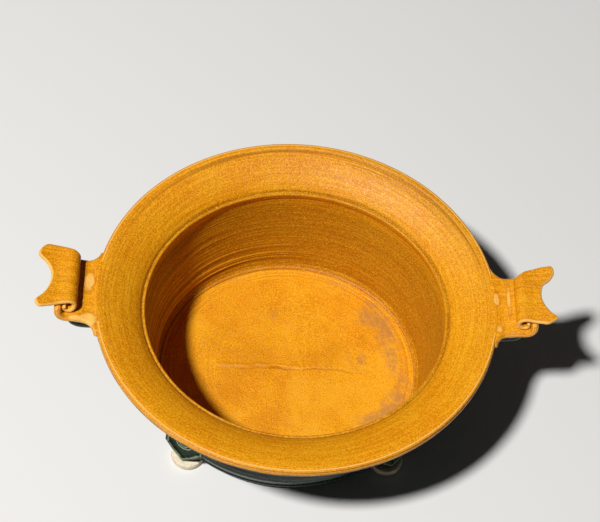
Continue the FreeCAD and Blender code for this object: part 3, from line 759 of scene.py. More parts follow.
class DISH_OT_make_wall(bpy.types.Operator):
    """Make the thrown wall with its throwing rings"""
    bl_idname = "dish.make_wall"
    bl_label = "Wall"

    def execute(self, context):
        sizes = context.scene.dish_sizes
        edge, mouth = base_offsets()
        low, high = WALL_LOW.z, WALL_HIGH.z
        thick = sizes.wall_thickness
        belly = low + 9.0 * MM
        inner = [
            (-thick / 2, low - 1.0 * MM),
            (-thick - 3.4 * MM, low - 1.0 * MM),
            (-thick - 3.4 * MM, low + 0.5 * MM, 0.4 * MM),
            (-thick - 2.2 * MM, low + 1.3 * MM, 0.5 * MM),
            (-thick - 1.3 * MM, low + 0.6 * MM, 0.4 * MM),
            (-thick + 0.3 * MM, low + 3.2 * MM, 2.5 * MM),
            (mouth + 0.2 * MM, high - 4.6 * MM, 5.0 * MM),
            (mouth - 0.8 * MM, high - 1.6 * MM, 4.0 * MM),
            (mouth - 0.9 * MM, high),
            (mouth + thick / 2, high),
        ]
        outer = [
            (mouth + thick / 2, high),
            (mouth + thick, high),
            (mouth + thick - 0.4 * MM, high - 6.0 * MM, 2.0 * MM),
            (mouth + thick - 2.4 * MM, high - 22.0 * MM, 30.0 * MM),
            (mouth + thick - 3.6 * MM, high - 32.0 * MM, 8.0 * MM),
            (2.1 * MM, low + 18.0 * MM, 8.0 * MM),
            (3.2 * MM, belly, 10.0 * MM),
            (0.4 * MM, low + 0.9 * MM, 1.2 * MM),
            (-0.5 * MM, low - 0.2 * MM, 0.4 * MM),
            (-thick / 2, low - 1.0 * MM),
        ]
        points, marks = rounded_path(inner, step=0.42 * MM)
        attributes = {"seam": [-4 * MM] * len(points), "edge": [], "ripple": [], "depth": []}
        for (across, up), mark in zip(points, marks):
            ledge = 0.6 * bell(across, -thick - 2.2 * MM, 0.9 * MM) if mark in (2, 3, 4) else 0.0
            attributes["edge"].append(ledge)
            fade = smooth(up, low + 1.5 * MM, low + 4.0 * MM)
            deep = 0.35 + 0.5 * bell(up, low + 6.0 * MM, 14.0 * MM)
            attributes["ripple"].append(fade * deep * smooth(up, high - 1 * MM, high - 5 * MM))
            # Toffee in the wall's glaze, stronger below a band at the top, so the wall is darker down the
            # well.
            attributes["depth"].append(0.20 + 0.45 * smooth(up, high - 3 * MM, high - 16 * MM))
        outside = rounded_path(outer, step=0.9 * MM)[0][1:-1]
        points += outside
        attributes["seam"] += [4 * MM] * len(outside)
        attributes["edge"] += [0.0] * len(outside)
        attributes["depth"] += [0.0] * len(outside)
        attributes["ripple"] += [0.35] * len(outside)
        wall = swept_piece("thrown_wall", points, attributes, wobble=0.0004, heavy=(-16.0, -3.0),
                           seed=11.0)
        keep_piece(wall, ["wall_ring"])
        return {"FINISHED"}


# ---------------------------------------------------------------- floor

def floor_crease(x, y):
    """Depth of the ragged crease along the middle of the floor, and its raised lip behind."""
    middle = -1.5 * MM + 5.0 * MM * noise.noise(Vector((x * 24.0, 4.0, 0.0)))
    middle += 2.6 * MM * noise.noise(Vector((x * 75.0, 1.0, 5.0)))
    reach = smooth(x, -0.058, -0.044) * smooth(x, 0.075, 0.035)
    broken = 0.60 + 0.7 * noise.noise(Vector((x * 60.0, 9.0, 2.0)))
    lip = 0.85 * bell(y, middle + 1.7 * MM, 1.3 * MM) * smooth(x, 0.03, -0.02)
    return reach * broken * (0.75 * bell(y, middle - 0.3 * MM, 0.8 * MM)), reach * lip


def floor_height(x, y, share):
    """Height of the floor's surface over its level."""
    spot = Vector((x, y, 0.0))
    waves = ((26.0, 0.45), (70.0, 0.20), (240.0, 0.05))
    soft = sum(noise.noise(spot * pitch) * height for pitch, height in waves)
    fade = smooth(share, 0.90, 0.75)
    sunk, raised = floor_crease(x, y)
    grooves = 0.0
    for place, depth in ((0.835, 0.25), (0.868, 0.45), (0.893, 0.30), (0.932, 0.45)):
        grooves -= depth * bell(share, place, 0.0055)
    angle = math.atan2(y, x)
    swept = 0.12 * noise.noise(Vector((share * 60.0, math.cos(angle), math.sin(angle))))
    return (soft * fade + raised - sunk + grooves + swept * smooth(share, 0.2, 0.5)) * MM


def floor_patch(x, y, share):
    """Where the floor's glaze is dull and brownish: a broken band near the right and the front."""
    spot = Vector((x, y, 0.3))
    ragged = noise.fractal(spot * 30.0, 1.0, 2.0, 3) * 0.55 + noise.noise(spot * 95.0) * 0.2
    side = smooth(math.atan2(y, x), -2.2, -1.2) * smooth(math.atan2(y, x), 1.35, 0.6)
    band = bell(share, 0.80, 0.13) * side
    worn = band * 0.95 + ragged * 1.3 + 0.35 * noise.noise(spot * 210.0) - 0.42
    return min(1.0, max(0.0, worn * 1.3)) * smooth(share, 0.99, 0.94)


class DISH_OT_make_floor(bpy.types.Operator):
    """Make the floor slab with its turned grooves and the crease along it"""
    bl_idname = "dish.make_floor"
    bl_label = "Floor"

    def execute(self, context):
        sizes = context.scene.dish_sizes
        along, across = SLAB_HIGH.x, SLAB_HIGH.y
        top, low = SLAB_HIGH.z, SLAB_LOW.z
        steps = sizes.steps_round
        inner = 1.0 - (sizes.wall_thickness - 2.0 * MM) / across
        shares = [inner * k / 170 for k in range(1, 171)]
        rounding = 3.5 * MM
        rings = [(share, None, -1.0) for share in shares]
        rings.append((1.0 - 1.6 * MM / across, top - 1.2 * MM, 1.0))
        rings.append((1.0 - 0.35 * MM / across, top - 0.9 * MM, 1.0))
        for k in range(9):
            turn = math.radians(90 * k / 8)
            out = 1.0 - (rounding - rounding * math.cos(turn)) / across
            rings.append((out, low + rounding - rounding * math.sin(turn), 1.0))
        rings += [(share, low, 1.0) for share in (0.93, 0.8, 0.6, 0.4, 0.2)]
        usual = {"seam": -0.003, "edge": 0.0, "patch": 0.0, "ring": 0.5, "pale": 0.5, "along": 0.0}
        vertices, values = [], {name: [] for name in usual}

        def add(spot, **own):
            vertices.append(spot)
            for name, value in usual.items():
                values[name].append(own.get(name, value))

        add((0.0, 0.0, top))
        for share, height, side in rings:
            for k in range(steps):
                angle = math.tau * k / steps
                x, y = along * share * math.cos(angle), across * share * math.sin(angle)
                wide = noise.noise(Vector((x * 17.0, y * 26.0, 3.0)))
                wide += 0.6 * noise.noise(Vector((x, y, 0.0)) * 75.0)
                stir = noise.noise(Vector((x * 30.0, y * 30.0, 7.0)))
                stir += 0.5 * noise.noise(Vector((x, y, 0.1)) * 80)
                own = {"seam": side * 0.003, "ring": 0.5 - 0.45 * floor_crease(x, y)[0],
                       "pale": 0.40 + 0.65 * wide,
                       "along": 0.55 * max(0.0, share - 0.80) * across + 0.6 * MM * stir}
                if height is None:
                    z = top + floor_height(x, y, share) * smooth(share, 1.0, 0.95) - 0.35 * MM
                    own.update(edge=0.62 * bell(share, 0.972, 0.010), patch=floor_patch(x, y, share))
                else:
                    z = height
                add((x, y, z), **own)
        add((0.0, 0.0, low), seam=0.003)
        last, outermost = len(vertices) - 1, 1 + (len(rings) - 1) * steps
        faces = band_faces(len(rings) - 1, steps, base=1)
        for k in range(steps):
            after = (k + 1) % steps
            faces += [(0, 1 + k, 1 + after), (last, outermost + after, outermost + k)]
        slab = new_object("floor_of_the_well", vertices, faces, attributes=values)
        closed_up(slab, distance=0.000002)
        keep_piece(slab, ["floor_slab"], materials()[0])
        return {"FINISHED"}


# ---------------------------------------------------------------- clay sheets

def eased_steps(number, edge_share, rounded=6):
    """Numbers from 0 to 1 that crowd towards both ends, so that a rounded edge has enough points."""
    start = [edge_share * (1 - math.cos(math.pi / 2 * k / rounded)) for k in range(rounded)]
    middle = [edge_share + (1 - 2 * edge_share) * k / number for k in range(number + 1)]
    return start + middle + [1 - value for value in reversed(start)]


def thinning(distance, rounding):
    """Share of full thickness at a distance from a rounded edge."""
    inside = min(1.0, max(0.0, distance / rounding))
    return math.sqrt(max(0.0, 1 - (1 - inside) ** 2))


class Route:
    """A line in the XZ plane through a list of points, measured by its length."""

    def __init__(self, points):
        self.points = [points[0]]
        for point in points[1:]:
            if (point - self.points[-1]).length > 1e-7:
                self.points.append(point)
        self.lengths = line_distance(self.points, 0)
        self.total = self.lengths[-1]

    def at(self, s):
        """Place and upward normal at a length along the line."""
        s = min(max(s, 0.0), self.total)
        high = max(1, next(i for i, length in enumerate(self.lengths) if length >= s - 1e-12))
        low = high - 1
        share = (s - self.lengths[low]) / (self.lengths[high] - self.lengths[low])
        spot = self.points[low].lerp(self.points[high], share)
        after, before = self.points[min(len(self.points) - 1, high + 1)], self.points[max(0, low - 1)]
        along = (after - before).normalized()
        return spot, Vector((-along.y, along.x))

    def length_at(self, x):
        """Length at which the last stretch of the line reaches x."""
        for i in range(len(self.points) - 1, 0, -1):
            low, high = self.points[i - 1], self.points[i]
            if low.x <= x:
                share = min(1.0, (x - low.x) / max(high.x - low.x, 1e-9))
                return self.lengths[i - 1] + share * (self.lengths[i] - self.lengths[i - 1])
        return 0.0


def clay_sheet(name, side, route, width, reach, half_thick, steps, texture, ridges=0.0,
               settle=None):
    """A sheet of clay with rounded edges on all sides.

    width(s, flank) is the distance from the middle to the "front" or "back" edge at length s,
    reach(y) the length at which the sheet ends at y, half_thick(s) half its thickness, and
    texture(s, y, face) a lift of its surface. ridges is the height of ridges along its flanks.
    settle(place, face, gap) may move a finished point, given its gap from the flank."""
    mirror = 1 if side == "right" else -1
    vertices, edge, ring, along_line = [], [], [], []
    rounding = half_thick(route.total / 2)
    full = width(route.total / 2, "front") + width(route.total / 2, "back")
    columns = eased_steps(steps[0], rounding / full, 9)
    rows = eased_steps(steps[1], rounding / route.total)
    spots = {}
    for row in rows:
        for column in columns:
            end_y = -width(route.total, "front") * (1 - column) + width(route.total, "back") * column
            total = reach(end_y)
            s = row * total
            front, back = width(s, "front"), width(s, "back")
            y = -front * (1 - column) + back * column
            gap = min(column, 1 - column) * (front + back)
            spots[row, column] = (s, y, gap, min(s, total - s), 1 if column > 0.5 else -1)
    for face in (1, -1):
        for row in rows:
            for column in columns:
                s, y, gap, end, flank = spots[row, column]
                spot, normal = route.at(s)
                thin = thinning(gap, rounding) * thinning(end, rounding)
                grain = texture(s, y, face)
                place = spot + normal * face * (half_thick(s) * thin + grain * thin)
                wave = 0.5 + 0.5 * math.cos(11.0 * face * thin + 1.0)
                bulge = ridges * (wave - 1.0) * (1 - thin) * smooth(end, 0.0, 2 * MM)
                point = Vector((place.x, y + flank * bulge, place.y))
                if settle is not None:
                    settle(point, face, gap)
                point.x *= mirror
                vertices.append(point)
                crest = smooth(min(gap, end), rounding * 1.5, 0.0)
                if ridges:
                    crest *= 0.25 + 0.75 * wave
                edge.append(crest)
                ring.append(0.5 + 900.0 * grain)
                along_line.append(y)
    across, bands = len(columns), len(rows) - 1
    faces = sheet_faces(bands, across)
    piece = new_object(name, vertices, faces, attributes={
        "edge": edge, "ring": ring, "along": along_line, "seam": [-4 * MM] * len(edge)})
    return closed_up(piece, distance=0.00001)


# The handles are made by hand, so each has its own outline. All numbers are millimetres: widths as
# (distance out, width) for both flanks, and ends as (place across, front to back, distance out).
STRAPS = {
    "right": {"front": 24.8, "back": 21.6, "front_flare": 8.5, "back_flare": 11.0},
    "left": {"front": 24.6, "back": 24.2, "front_flare": 11.0, "back_flare": 9.5},
}
ROLLS = {
    "right": {
        "front": ((149, 20.6), (157, 20.8), (163, 21.6), (168, 23.0), (173, 24.4), (178, 24.6)),
        "back": ((149, 14.0), (152, 16.8), (156, 19.6), (162, 21.8), (168, 22.8), (178, 23.4)),
        "core": (21.6, 15.4),
        "end": ((-25, 166.5), (-24, 169.2), (-21.5, 173.0), (-19.8, 175.6), (-18.6, 176.2),
                (-17.6, 175.4), (-14, 172.0), (-9, 168.6), (-4, 166.9), (0, 166.6), (4, 167.0),
                (7.5, 168.0), (9.3, 169.8), (10.5, 172.0), (13, 174.2), (16, 175.9), (20, 175.9),
                (22, 175.0), (24.5, 172.3)),
    },
    "left": {
        "front": ((149, 18.2), (155, 18.8), (161, 20.0), (167, 22.0), (172, 23.6), (178, 24.2)),
        "back": ((149, 21.4), (152, 23.4), (157, 25.2), (164, 26.2), (171, 26.3), (178, 25.2)),
        "core": (20.6, 21.4),
        "end": ((-25, 171.0), (-23.8, 173.6), (-22.5, 175.3), (-20.5, 176.4), (-18.6, 176.4),
                (-17.4, 175.4), (-14.5, 172.3), (-11, 169.8), (-7, 168.0), (-3, 167.2), (1, 167.2),
                (5, 168.2), (9, 170.2), (12.5, 173.0), (14.8, 175.7), (16.4, 176.9), (19, 176.6),
                (22, 175.2), (24.5, 172.6), (26.5, 168.5)),
    },
}


# Painted highlights on the straps, pale spots on their hollow and flare, in millimetres:
# (out from the rim's end, place across, (reach out, reach across), strength).
HIGHLIGHT_SPOTS = {
    "right": ((-2.0, 4.0, (2.4, 6.0), 1.0), (6.5, 3.0, (1.8, 15.0), 0.8),
              (-1.0, -19.0, (3.0, 4.0), 0.8)),
    "left": ((3.0, 6.0, (4.0, 8.0), 1.1), (1.5, -23.0, (6.0, 5.0), 1.3),
             (10.0, -23.0, (6.0, 2.4), 0.9)),
}


class DISH_OT_make_handles(bpy.types.Operator):
    """Make the straps, the rolled sheets that lie in them and the lugs below them"""
    bl_idname = "dish.make_handles"
    bl_label = "Handles"

    def strap(self, sizes, side):
        rim_end, rim_top = RIM_HIGH.x, RIM_HIGH.z
        half = sizes.strap_thickness / 2
        bed = rim_top + 2.4 * MM - half
        outer = STRAP_HIGH.x - half
        points, marks = rounded_path([
            (rim_end - 16.0 * MM, rim_top - 10.0 * MM),
            (rim_end - 9.0 * MM, rim_top - 6.0 * MM, 20.0 * MM),
            (rim_end - 1.5 * MM, bed - 1.7 * MM, 9.0 * MM),
            (rim_end + 5.5 * MM, bed - 1.5 * MM, 10.0 * MM),
            (rim_end + 12.0 * MM, bed, 14.0 * MM),
            (outer, bed, 6.4 * MM),
            (outer - 0.4 * MM, STRAP_HIGH.z - 0.3 * MM),
        ], step=0.4 * MM)
        route = Route(points)
        shape = STRAPS[side]
        rim_table = rim_top_table()
        brink = rim_table[-1][0]
        rim_table += [(brink + 0.4 * MM, rim_top - 8 * MM), (brink + 5 * MM, rim_top - 30 * MM)]

        def width(s, flank):
            x = route.at(s)[0].x
            flare = shape[flank + "_flare"] * MM
            root = min(rim_end - 3.6 * MM + flare - x, flare * 0.985)
            widened = shape[flank] * MM
            if root > 0:
                widened += flare - math.sqrt(flare * flare - root * root)
            return widened - 2.2 * MM * smooth(s, route.total - 12 * MM, route.total) ** 2

        def texture(s, y, face):
            return (0.14 * noise.noise(Vector((s * 90.0, y * 60.0, 8.0)))
                    + 0.10 * noise.noise(Vector((s * 30.0, y * 500.0, 3.0)))) * MM

        def settle(point, face, gap):
            if point.x > rim_end + 5 * MM:
                return
            offset = oval_offset(point.x, point.y)
            rim = min(looked_up(rim_table, offset + k * 0.4 * MM) for k in range(-2, 3))
            if face > 0:
                point.z -= 0.7 * MM * bell(point.x, rim_end + 1.5 * MM, 3.5 * MM)
                near = max(0.0, 1 - abs(rim - point.z) / (2.4 * MM))
                lifted = max(rim, point.z) + near * near * 0.6 * MM
                lifted -= 0.3 * MM * smooth(rim - point.z, -0.4 * MM, 1.0 * MM)
                point.z = lifted
            elif offset < brink:
                point.z = min(point.z, rim - 2.5 * MM)

        piece = clay_sheet(f"handle_strap_{side}_clay", side, route, width,
                           lambda y: route.total - 1.4 * MM * (y / STRAP_HIGH.y) ** 4, lambda s: half,
                           (84, 84), texture, ridges=0.55 * MM, settle=settle)
        glazed = [-4 * MM if vertex.co.z > rim_top - 3.6 * MM or abs(vertex.co.x) < rim_end else 4 * MM
                  for vertex in piece.data.vertices]
        set_attribute(piece.data, "seam", glazed)
        # Painted highlights on the strap's hollow and flare.
        self.paint_highlights(piece, side)
        keep_piece(piece, [f"handle_strap_{side}"], materials()[0])

    def paint_highlights(self, piece, side):
        """Painted highlights on a strap: pale spots on its hollow and its flare."""
        mirror = 1 if side == "right" else -1
        values = []
        for vertex, old in zip(piece.data.vertices, piece.data.attributes["edge"].data):
            across = mirror * vertex.co.x - RIM_HIGH.x
            pale = 0.0
            for out, y, reach, strength in HIGHLIGHT_SPOTS[side]:
                gap = math.hypot((across - out * MM) / reach[0], (vertex.co.y - y * MM) / reach[1]) / MM
                pale = max(pale, strength * bell(gap, 0.0, 1.0))
            ragged = 0.85 + 0.35 * noise.noise(vertex.co * 160.0)
            on_top = vertex.co.z > RIM_HIGH.z - 3 * MM
            # The painted highlights ride on the edge attribute, so the glaze turns buff there like a bare
            # edge.
            values.append(max(old.value, 1.3 * pale * ragged * on_top))
        set_attribute(piece.data, "edge", values)

    def scroll(self, sizes, side):
        half = sizes.sheet_thickness / 2
        floor = RIM_HIGH.z + 2.5 * MM
        radius = sizes.roll_height / 2
        centre = Vector((SCROLL_LOW.x + radius, floor + radius))
        inner_turn, top_turn = math.radians(400), math.radians(90)
        points = []
        for k in range(81):
            turn = inner_turn + (top_turn - inner_turn) * k / 80
            squeeze = smooth(turn, math.radians(250), inner_turn)
            arm = radius - half - 2.9 * MM * squeeze
            points.append(centre + arm * Vector((math.cos(turn), math.sin(turn))))
        start = points[-1]
        tip = Vector((SCROLL_HIGH.x, SCROLL_HIGH.z - half - 0.1 * MM))
        bend = start.x + 5.0 * MM
        for k in range(1, 61):
            x = start.x + (tip.x - start.x) * k / 60
            rise = max(0.0, (x - bend) / (tip.x - bend))
            points.append(Vector((x, start.y + (tip.y - start.y) * rise ** 1.5)))
        route = Route(points)
        turned_under = route.length_at(start.x) - (radius - half) * math.pi / 2
        shape = ROLLS[side]
        seed = 5.0 if side == "right" else 9.0

        def width(s, flank):
            x = route.at(s)[0].x
            outside = softened(shape[flank], x / MM, 1.5) * MM
            core = shape["core"][0 if flank == "front" else 1] * MM
            tucked = smooth(s, turned_under + 2 * MM, turned_under - 6 * MM)
            ragged = 0.35 * MM * noise.noise(Vector((s * 160.0, seed, 2.0 if flank == "front" else 7.0)))
            return outside + (core - outside) * tucked + ragged - 0.3 * MM

        def reach(y):
            return route.length_at(softened(shape["end"], y / MM, 0.7) * MM)

        def texture(s, y, face):
            streak = noise.noise(Vector((s * 20.0, y * 560.0, seed)))
            coarse = noise.noise(Vector((s * 12.0, y * 190.0, seed + 3.0)))
            crease = bell(y, 5.6 * MM + 1.2 * MM * math.sin(s * 110.0), 0.5 * MM) if face > 0 else 0.0
            return (0.09 * streak + 0.13 * coarse - 0.22 * crease * (side == "right")) * MM

        piece = clay_sheet(f"handle_scroll_{side}_clay", side, route, width, reach,
                           lambda s: half * (1 - 0.25 * smooth(s, 12 * MM, 0.0)), (96, 120), texture)
        keep_piece(piece, [f"handle_scroll_{side}"], materials()[0])

    def lug(self, side):
        low, high = LUG_LOW, LUG_HIGH
        rows, around = 40, 72
        half_width = (high.y - low.y) / 2
        mirror = 1 if side == "right" else -1
        vertices = []
        for i in range(rows + 1):
            share = i / rows
            share = share + 0.12 * math.sin(math.tau * share) * (share > 0.5)
            x = low.x + (high.x - low.x) * share
            nose = max(0.0, (share - 0.62) / 0.38)
            closing = math.sqrt(max(0.0, 1 - nose ** 4.5))
            belly = math.sin(math.pi * min(1.0, share * 0.9 + 0.05))
            depth = (high.z - low.z) * (0.60 + 0.36 * belly) * closing
            wide = half_width * (0.92 + 0.08 * math.sin(math.pi * share)) * (0.30 + 0.70 * closing)
            top = high.z if x > RIM_HIGH.x else high.z - 1.5 * MM - (RIM_HIGH.x - x) * 0.4
            middle = top - 0.5 * MM - depth / 2
            for k in range(around):
                turn = math.tau * k / around
                c, s = math.cos(turn), math.sin(turn)
                y = wide * math.copysign(abs(c) ** 0.8, c)
                z = middle + depth / 2 * math.copysign(abs(s) ** 0.75, s)
                lump = 0.5 * MM * (noise.noise(Vector((x * 55, y * 55, z * 55 + mirror))) - 1.0)
                vertices.append((mirror * x, y + lump * c, z + lump * s * (s < 0)))
        faces = band_faces(rows, around)
        faces.append(tuple(range(around)))
        faces.append(tuple(rows * around + k for k in reversed(range(around))))
        piece = new_object(f"handle_lug_{side}_clay", vertices, faces,
                           attributes={"edge": [0.0] * len(vertices), "ring": [0.5] * len(vertices)})
        closed_up(piece)
        keep_piece(piece, [f"handle_lug_{side}"], materials()[1])

    def execute(self, context):
        sizes = context.scene.handle_sizes
        for side in SIDES:
            self.strap(sizes, side)
            self.scroll(sizes, side)
            self.lug(side)
        return {"FINISHED"}


# ---------------------------------------------------------------- feet

def foot_frame(corner):
    """Middle of a foot on the table, and the direction in which it faces."""
    low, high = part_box(f"foot_disc_{corner}")
    middle = (low + high) / 2
    middle.z = 0.0
    outward = Vector((middle.x / SLAB_HIGH.x ** 2, middle.y / SLAB_HIGH.y ** 2, 0.0)).normalized()
    return middle, outward, (high - low).x / 2, high.z


def foot_disc(corner):
    middle, outward, radius, height = foot_frame(corner)
    steps = 96
    profile = [(0.0, 0.0), (radius - 2.2 * MM, 0.0), (radius - 0.9 * MM, 0.15 * MM),
               (radius - 0.25 * MM, 0.8 * MM), (radius - 0.1 * MM, 2.0 * MM),
               (radius - 0.25 * MM, height - 2.2 * MM), (radius - 0.4 * MM, height - 0.9 * MM),
               (radius - 1.0 * MM, height - 0.2 * MM), (radius - 2.4 * MM, height), (0.0, height)]
    profile = rounded_path(profile, step=0.7 * MM)[0]
    vertices = []
    for out, up in profile:
        for k in range(steps):
            turn = math.tau * k / steps
            arm = Vector((math.cos(turn), math.sin(turn), 0.0))
            spot = middle + arm * out
            uneven = noise.noise(spot * 75.0) * 0.35 * MM - 0.35 * MM
            share = min(1.0, out / radius)
            side = arm * uneven * share
            dent = 0.12 * MM * noise.noise(spot * 220.0 + Vector((0, 0, up * 400.0)))
            lift = max(0.0, up + (dent if 0.0 < up < height else 0.0))
            vertices.append(spot + side + Vector((0, 0, min(lift, height))))
    piece = new_object(f"foot_disc_{corner}_clay", vertices, band_faces(len(profile) - 1, steps))
    closed_up(piece)
    keep_piece(piece, [f"foot_disc_{corner}"], materials()[2])


def shield_frame(corner):
    """Foot of a shield on the disc's middle, and its three axes: sideways, outwards and up its face.

    A shield is turned from the wall's normal towards the dish's short axis."""
    sizes = bpy.context.scene.foot_sizes
    middle, normal, radius, height = foot_frame(corner)
    swing = sizes.shield_turn * (1 if corner in ("front_left", "back_right") else -1)
    outward = Matrix.Rotation(swing, 3, "Z") @ normal
    sideways = Vector((0, 0, 1)).cross(outward)
    return middle + Vector((0, 0, height)), sideways, outward, normal


def foot_shield(corner):
    """A tongue of clay: round at the top, pointed at the foot, with a raised border."""
    sizes = bpy.context.scene.foot_sizes
    low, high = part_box(f"foot_shield_{corner}")
    middle, sideways, outward, normal = shield_frame(corner)
    tall = high.z - middle.z
    half = sizes.shield_width / 2 - 0.3 * MM
    rows, columns = 64, 64
    waist, crown = 0.46, 0.60
    vertices, edge = [], []

    def width_at(share):
        """Half width from the point, 0, to the round top, 1."""
        if share < waist:
            part = share / waist
            return half * (0.70 * part + 0.30 * math.sin(math.pi / 2 * part))
        return half * math.sqrt(max(0.0, 1 - (max(0.0, share - crown) / (1 - crown)) ** 2))

    for face in (1, -1):
        for i in range(rows + 1):
            share = i / rows
            wide = max(width_at(share), 0.01 * MM)
            up = 0.1 * MM + (tall - 0.2 * MM) * share
            for j in range(columns + 1):
                t = math.sin(math.pi / 2 * (2 * j / columns - 1))
                across = wide * t
                slant = 0.68 if share < waist else 1.0
                rim_gap = min(wide * (1 - abs(t)) * slant, tall * (1 - share), tall * share)
                thin = thinning(rim_gap, 1.5 * MM)
                front = sizes.shield_stand - sizes.shield_lean * share
                border = 0.50 * MM * bell(rim_gap, 2.7 * MM, 1.0 * MM)
                hollow = -0.80 * MM * smooth(rim_gap, 3.0 * MM, 4.6 * MM)
                back = front - 1.5 * MM
                if face > 0:
                    depth = back + (1.0 * MM + border + hollow) * thin
                else:
                    inside = -2.0 * MM - across * sideways.dot(normal)
                    depth = back + (inside / outward.dot(normal) - back) * thin
                vertices.append(middle + outward * depth + sideways * across + Vector((0, 0, up)))
                edge.append(0.85 * bell(rim_gap, 2.7 * MM, 1.0 * MM) * (face > 0))
    width = columns + 1
    faces = sheet_faces(rows, width)
    piece = new_object(f"foot_shield_{corner}_clay", vertices, faces,
                       attributes={"edge": edge, "ring": [0.5] * len(edge)})
    closed_up(piece, distance=0.00003)
    keep_piece(piece, [f"foot_shield_{corner}"], materials()[1])


def spiral_tree():
    """A raised line wound in a flat spiral, thickest at its outer turn."""
    tree, given, out = new_group(
        "Raised spiral", "GeometryNodeTree",
        {"Geometry": ("NodeSocketGeometry", None), "Turns": (VALUE, 3.0), "Radius": (VALUE, 0.009),
         "Line": (VALUE, 0.0008), "Material": ("NodeSocketMaterial", None)},
        {"Geometry": "NodeSocketGeometry"})
    want = given.outputs
    spiral = add_node(tree, "GeometryNodeCurveSpiral", {
        "Resolution": 40, "Rotations": want["Turns"],
        "Start Radius": maths(tree, "MULTIPLY", want["Line"], 1.5), "End Radius": want["Radius"],
        "Height": 0.0})
    along = add_node(tree, "GeometryNodeSplineParameter").outputs["Factor"]
    fat = maths(tree, "MULTIPLY_ADD", along, 0.3, 0.8)
    swollen = add_node(tree, "GeometryNodeSetCurveRadius", {"Curve": spiral.outputs[0], "Radius": fat})
    line = add_node(tree, "GeometryNodeCurvePrimitiveCircle", {"Resolution": 10, "Radius": want["Line"]},
                    mode="RADIUS")
    tube = add_node(tree, "GeometryNodeCurveToMesh", {"Curve": swollen.outputs[0],
                                                      "Profile Curve": line.outputs[0],
                                                      "Fill Caps": True})
    for item in tube.inputs:
        if item.name == "Scale":
            tree.links.new(fat, item)
    plain = add_node(tree, "GeometryNodeRealizeInstances", {"Geometry": tube.outputs[0]})
    painted = add_node(tree, "GeometryNodeSetMaterial", {"Geometry": plain.outputs[0],
                                                         "Material": want["Material"]})
    link_out(tree, out, {"Geometry": painted.outputs[0]})
    return tree


def foot_spiral(corner, sizes):
    base = new_object(f"spiral_{corner}_start", [(0, 0, 0)])
    tree = bpy.data.node_groups.get("Raised spiral") or spiral_tree()
    nodes_modifier(base, tree, turns=sizes.spiral_turns, radius=sizes.spiral_radius - 0.8 * MM,
                   line=sizes.spiral_line, material=materials()[1])
    piece = applied(base, f"spiral_trail_{corner}_clay")
    low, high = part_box(f"spiral_trail_{corner}")
    shield_low, shield_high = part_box(f"foot_shield_{corner}")
    middle, sideways, outward, normal = shield_frame(corner)
    up = (low.z + high.z) / 2 - middle.z
    tall = shield_high.z - middle.z
    tilt = math.atan2(sizes.shield_lean, tall)
    out = sizes.shield_stand - sizes.shield_lean * up / tall - 1.15 * MM
    upward = (Vector((0, 0, 1)) * math.cos(tilt) - outward * math.sin(tilt)).normalized()
    facing = sideways.cross(upward)
    centre = middle + outward * out + Vector((0, 0, up))
    edge = []
    for vertex in piece.data.vertices:
        spot = vertex.co.copy()
        vertex.co = centre + sideways * spot.x + upward * spot.y + facing * spot.z
        edge.append(0.45 + 0.6 * max(0.0, spot.z / sizes.spiral_line))
    set_attribute(piece.data, "edge", edge)
    set_attribute(piece.data, "ring", [0.5] * len(edge))
    closed_up(piece, distance=0.000005)
    keep_piece(piece, [f"spiral_trail_{corner}"])


class DISH_OT_make_feet(bpy.types.Operator):
    """Make the bare disc feet"""
    bl_idname = "dish.make_feet"
    bl_label = "Feet"

    def execute(self, context):
        for corner in CORNERS:
            foot_disc(corner)
        return {"FINISHED"}


class DISH_OT_make_shields(bpy.types.Operator):
    """Make the shields over the feet and their raised spirals"""
    bl_idname = "dish.make_shields"
    bl_label = "Shields"

    def execute(self, context):
        for corner in CORNERS:
            foot_shield(corner)
            foot_spiral(corner, context.scene.foot_sizes)
        return {"FINISHED"}


# ---------------------------------------------------------------- stage

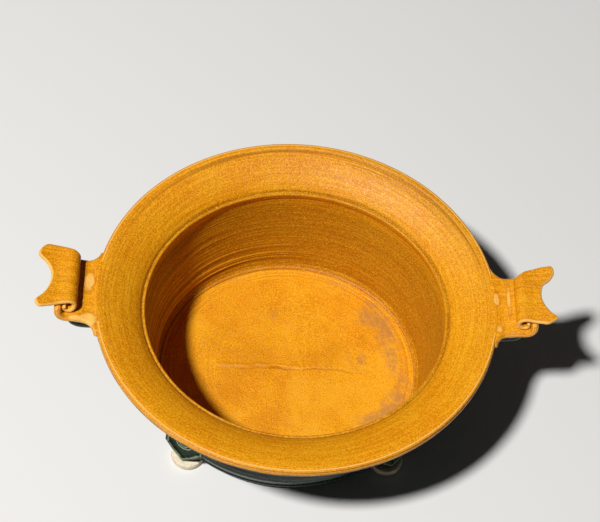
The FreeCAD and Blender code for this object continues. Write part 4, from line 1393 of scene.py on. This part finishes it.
class DISH_OT_make_stage(bpy.types.Operator):
    """Make the floor, the lights and the camera"""
    bl_idname = "dish.make_stage"
    bl_label = "Stage"

    def execute(self, context):
        settings = context.scene.stage_settings
        half = 3.0
        floor = new_object("stage_floor", [(-half, -half, 0), (half, -half, 0), (half, half, 0),
                                           (-half, half, 0)], [(0, 1, 2, 3)])
        material, tree, shader, vector = new_material("stage_paper")
        shader.inputs["Base Color"].default_value = (*settings.floor_colour, 1.0)
        shader.inputs["Roughness"].default_value = 0.9
        floor.data.materials.append(material)

        world = bpy.data.worlds.new("studio")
        world.use_nodes = True
        background = world.node_tree.nodes["Background"]
        background.inputs["Color"].default_value = (1.0, 1.0, 1.0, 1.0)
        background.inputs["Strength"].default_value = 0.026
        context.scene.world = world

        self.lamp("key", (-1.08, -0.80, 2.70), 0.26, 119.0)

        camera = bpy.data.cameras.new("camera")
        camera.lens = settings.lens
        camera.sensor_width = 36.0
        camera.clip_end = 20.0
        view = bpy.data.objects.new("camera", camera)
        context.scene.collection.objects.link(view)
        spot = Vector((-0.0626, -0.5608, 1.0561))
        forward = Vector((0.0576, 0.5298, -0.8462)).normalized()
        right = Vector((0.9976, 0.0013, 0.0686))
        right = (right - forward * right.dot(forward)).normalized()
        up = right.cross(forward)
        view.matrix_world = self.axes(right, up, -forward, spot)
        context.scene.camera = view
        context.scene.view_settings.view_transform = "Standard"
        return {"FINISHED"}

    def axes(self, right, up, back, spot):
        turn = Matrix((right, up, back)).transposed().to_4x4()
        turn.translation = spot
        return turn

    def lamp(self, name, spot, size, power):
        light = bpy.data.lights.new(name, "AREA")
        light.shape = "DISK"
        light.size = size
        light.energy = power
        lamp = bpy.data.objects.new(name, light)
        lamp.location = spot
        aim = Vector((0.0, 0.0, 0.06)) - Vector(spot)
        lamp.rotation_euler = aim.to_track_quat("-Z", "Y").to_euler()
        bpy.context.scene.collection.objects.link(lamp)


# ---------------------------------------------------------------- panel and registration

OPERATORS = (DISH_OT_make_rim, DISH_OT_make_wall, DISH_OT_make_floor, DISH_OT_make_handles,
             DISH_OT_make_feet, DISH_OT_make_shields, DISH_OT_make_stage)


class DISH_PT_panel(bpy.types.Panel):
    """Lists the sizes, the colours and the steps that make the dish"""
    bl_label = "Casserole dish"
    bl_idname = "DISH_PT_panel"
    bl_space_type = "VIEW_3D"
    bl_region_type = "UI"
    bl_category = "Casserole"

    def draw(self, context):
        for name, group in GROUPS.items():
            box = self.layout.box()
            box.label(text=group.__doc__)
            for item in group.__annotations__:
                box.prop(getattr(context.scene, name), item)
        for operator in OPERATORS:
            self.layout.operator(operator.bl_idname)


CLASSES = (*GROUPS.values(), *OPERATORS, DISH_PT_panel)


def register():
    for item in CLASSES:
        bpy.utils.register_class(item)
    for name, group in GROUPS.items():
        setattr(bpy.types.Scene, name, bpy.props.PointerProperty(type=group))


def unregister():
    for name in GROUPS:
        delattr(bpy.types.Scene, name)
    for item in reversed(CLASSES):
        bpy.utils.unregister_class(item)


def main():
    register()
    bpy.ops.dish.make_stage()
    bpy.ops.dish.make_rim()
    bpy.ops.dish.make_wall()
    bpy.ops.dish.make_floor()
    bpy.ops.dish.make_handles()
    bpy.ops.dish.make_feet()
    bpy.ops.dish.make_shields()


if __name__ == "__main__":
    main()
